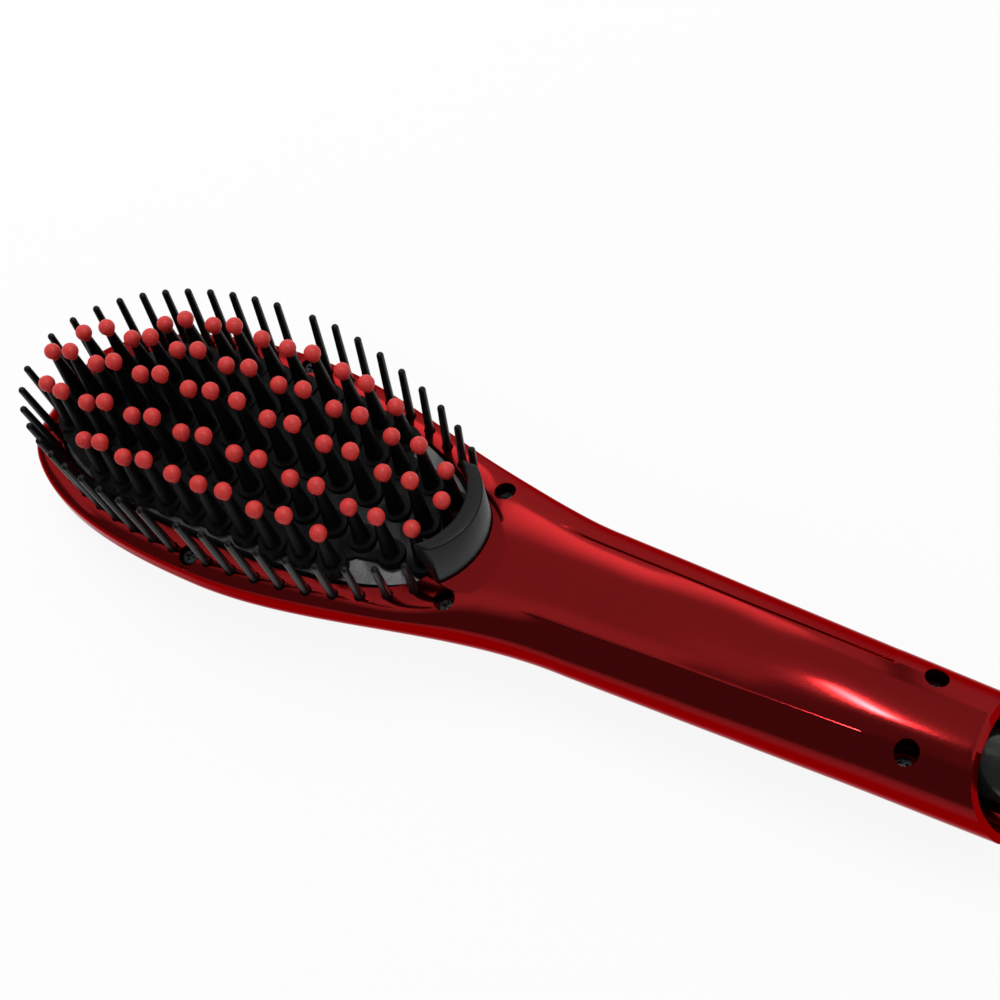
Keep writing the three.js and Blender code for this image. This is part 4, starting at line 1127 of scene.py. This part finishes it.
def pale_paint(name, white, share):
    """Floor paint with a share of glow for the camera, mirrors and glass, so shadows stay faint."""
    material, tree, shader = new_material(name)
    shader.inputs["Base Color"].default_value = (white, white, white, 1)
    shader.inputs["Roughness"].default_value = 0.9
    shader.inputs["Specular IOR Level"].default_value = 0.1
    glow = add_node(tree, "ShaderNodeEmission", Color=(1, 1, 1, 1), Strength=1.0)
    amount = tree.nodes.new("ShaderNodeMath")
    amount.operation = "MULTIPLY"
    tree.links.new(seen_rays(tree), amount.inputs[0])
    amount.inputs[1].default_value = share
    mix = tree.nodes.new("ShaderNodeMixShader")
    tree.links.new(amount.outputs[0], mix.inputs["Fac"])
    tree.links.new(shader.outputs[0], mix.inputs[1])
    tree.links.new(glow.outputs[0], mix.inputs[2])
    tree.links.new(mix.outputs[0], tree.nodes["Material Output"].inputs["Surface"])
    return material


def seen_rays(tree):
    """1 for rays from the camera, from mirrors and through glass."""
    rays = tree.nodes.new("ShaderNodeLightPath")
    value = rays.outputs["Is Camera Ray"]
    for name in ("Is Glossy Ray", "Is Transmission Ray"):
        larger = tree.nodes.new("ShaderNodeMath")
        larger.operation = "MAXIMUM"
        tree.links.new(value, larger.inputs[0])
        tree.links.new(rays.outputs[name], larger.inputs[1])
        value = larger.outputs[0]
    return value


def studio_card(name, rows):
    """A sheet that only mirrors see, of rows of places, each with the glow that it has there."""
    places = [point for row in rows for point in row]
    width = len(rows[0])
    faces = [
        (i * width + j, i * width + j + 1, (i + 1) * width + j + 1, (i + 1) * width + j)
        for i in range(len(rows) - 1) for j in range(width - 1)
    ]
    spots, glows = [place[:3] for place in places], [place[3] for place in places]
    card = carrying_mesh(name, spots, faces, glow=glows)
    card.data.materials.append(CARD_GLOW)
    card.visible_camera = False
    card.visible_diffuse = False
    card.visible_transmission = False
    card.visible_shadow = False
    return card


def card_glow():
    """A plain glow as strong as each point of the card says."""
    material, tree, shader = new_material("studio_card_glow")
    tree.nodes.remove(shader)
    level = tree.nodes.new("ShaderNodeAttribute")
    level.attribute_name = "glow"
    light = add_node(tree, "ShaderNodeEmission", Color=(1, 1, 1, 1))
    tree.links.new(level.outputs["Fac"], light.inputs["Strength"])
    tree.links.new(light.outputs[0], tree.nodes["Material Output"].inputs["Surface"])
    return material


CARD_GLOW = card_glow()


def flat_rows(z, rows):
    """Rows of a level card, each point as x, y and glow."""
    return [[(x, y, z, glow) for x, y, glow in row] for row in rows]


# Level cards overhead: the height of each, and its rows of x, y and glow
CEILING_Z, BOOM_Z, BRIGHT_Z, STREAK_Z = 421, 419, 418, 417
CEILING_XS = (-600, 500)
CEILING_BANDS = [
    (430, 0.68), (225, 0.68), (60, 0.68), (-10, 0.98), (-60, 0.95), (-110, 0.6), (-165, 0.28), (-200, 0.2),
]
BOOM_ROWS = [
    [(10, -155, 0.28), (500, -155, 0.28)],
    [(18, -60, 0.28), (500, -60, 0.28)],
    [(29, 45, 0.3), (500, 45, 0.3)],
]
BRIGHT_ROWS = [
    [(-420, 300, 0.8), (-420, 350, 1.6), (-420, 400, 2.2), (-420, 440, 2.4)],
    [(-230, 250, 0.9), (-230, 320, 2.2), (-230, 390, 3.0), (-230, 450, 3.2)],
    [(-76, 228, 0.9), (-74, 300, 2.5), (-80, 364, 3.3), (-88, 425, 3.7)],
    [(-16, 285, 1.0), (-35, 350, 2.1), (-52, 440, 2.8), (-75, 565, 3.0)],
    [(14, 425, 1.4), (6, 500, 2.4), (-6, 590, 3.2), (-22, 650, 3.2)],
]
STREAK_ROWS = [
    [(54, 121, 50), (61, 126, 50)],
    [(91, 60, 110), (106, 70, 110)],
    [(111, 36, 130), (126, 46, 130)],
]

# Upright cards: on the near side as rows of y, z and glow, on the far side and before the nose
NEAR_XS = (-600, 400)
NEAR_BANDS = [
    (-200, 421, 0.2), (-500, 60, 0.2), (-500, 3, 0.2), (-90, 3, 0.22), (-60, 3, 0.6), (-33, 3, 0.95),
]
FAR_XS, FAR_EDGES, FAR_GLOW = (98, 127), ((350, 385), (490, 150)), 0.25
NOSE_CARD_X, NOSE_YS, NOSE_GLOW = -600, (-600, 200), 0.2
GUARD_CARD_GAP, GUARD_CARD_FOOT, GUARD_GLOW = 0.3, 0.2, 0.62


def guard_card_rows():
    """Close to the outside of the heel guard, for the neck to mirror."""
    rows = []
    for x, y in guard_arc(GUARD["radius"] + GUARD_CARD_GAP, 13):
        foot = float(shell_top_z(x, y)) + GUARD_CARD_FOOT
        rows.append([(x, y, foot, GUARD_GLOW), (x, y, GUARD_TOP_Z, GUARD_GLOW)])
    return rows


def make_stage():
    reach = FLOOR_REACH
    corners = [(-reach, -reach), (reach, -reach), (reach, reach), (-reach, reach)]
    floor = mesh_object("floor", [(x, y, FLOOR_Z) for x, y in corners], [(0, 1, 2, 3)])
    floor.data.materials.append(pale_paint("pale_floor", FLOOR_WHITE, FLOOR_GLOW))
    ceiling = [[(x, y, glow) for x in CEILING_XS] for y, glow in CEILING_BANDS]
    studio_card("ceiling", flat_rows(CEILING_Z, ceiling))
    studio_card("near_flag", [[(x, y, z, glow) for x in NEAR_XS] for y, z, glow in NEAR_BANDS])
    studio_card("boom_card", flat_rows(BOOM_Z, BOOM_ROWS))
    studio_card("bright_strip", flat_rows(BRIGHT_Z, BRIGHT_ROWS))
    studio_card("far_card", [[(x, y, z, FAR_GLOW) for x in FAR_XS] for y, z in FAR_EDGES])
    studio_card("guard_card", guard_card_rows())
    studio_card("nose_flag", [[(NOSE_CARD_X, y, z, NOSE_GLOW) for y in NOSE_YS] for z in (3, 300)])
    studio_card("streak_strip", flat_rows(STREAK_Z, STREAK_ROWS))


def make_world():
    """White for the camera, mirrors and glass, and a plain level for the light on the object."""
    world = bpy.data.worlds.new("studio")
    bpy.context.scene.world = world
    world.use_nodes = True
    tree = world.node_tree
    tree.nodes.clear()
    strength = add_node(tree, "ShaderNodeMapRange", To_Min=WORLD_ON_OBJECT, To_Max=WORLD_SEEN)
    tree.links.new(seen_rays(tree), strength.inputs["Value"])
    background = add_node(tree, "ShaderNodeBackground", Color=(1, 1, 1, 1))
    tree.links.new(strength.outputs["Result"], background.inputs["Strength"])
    output = tree.nodes.new("ShaderNodeOutputWorld")
    tree.links.new(background.outputs[0], output.inputs["Surface"])


def make_lamps():
    """A large soft lamp over the nose. Mirrors see the cards instead."""
    data = bpy.data.lights.new("soft_lamp", "AREA")
    data.shape = "RECTANGLE"
    data.size, data.size_y = LAMP["size"]
    data.energy = LAMP["watts"]
    lamp = new_object("soft_lamp", data)
    lamp.location = Vector(LAMP["place"]) * MM
    towards = Vector(LAMP["aim"]) * MM - lamp.location
    lamp.rotation_euler = towards.to_track_quat("-Z", "Y").to_euler()
    lamp.visible_camera = False
    lamp.visible_glossy = False


CAMERA_PLACE = (172.73, -125.32, 329.72)
CAMERA_RIGHT = (0.88198, 0.4535, -0.12825)
CAMERA_DOWN = (0.34323, -0.80457, -0.48462)
CAMERA_LENS = 57.6


def make_camera():
    data = bpy.data.cameras.new("camera")
    data.sensor_width = 36.0
    data.lens = CAMERA_LENS
    data.clip_start, data.clip_end = 0.01, 50.0
    camera = new_object("camera", data)
    right, up = Vector(CAMERA_RIGHT), -Vector(CAMERA_DOWN)
    back = right.cross(up).normalized()
    turn = Matrix((right, up, back)).transposed().to_4x4()
    camera.matrix_world = Matrix.Translation(Vector(CAMERA_PLACE) * MM) @ turn
    bpy.context.scene.camera = camera


dress_cad_nodes()
make_front_shell()
make_well_cups()
make_back_shell()
make_heater_plate()
make_bristles()
make_tips()
make_comb()
make_heel_guard()
make_screws()
make_gland()
make_controls()
make_stage()
make_world()
make_lamps()
make_camera()
bpy.context.scene.view_settings.view_transform = "Standard"
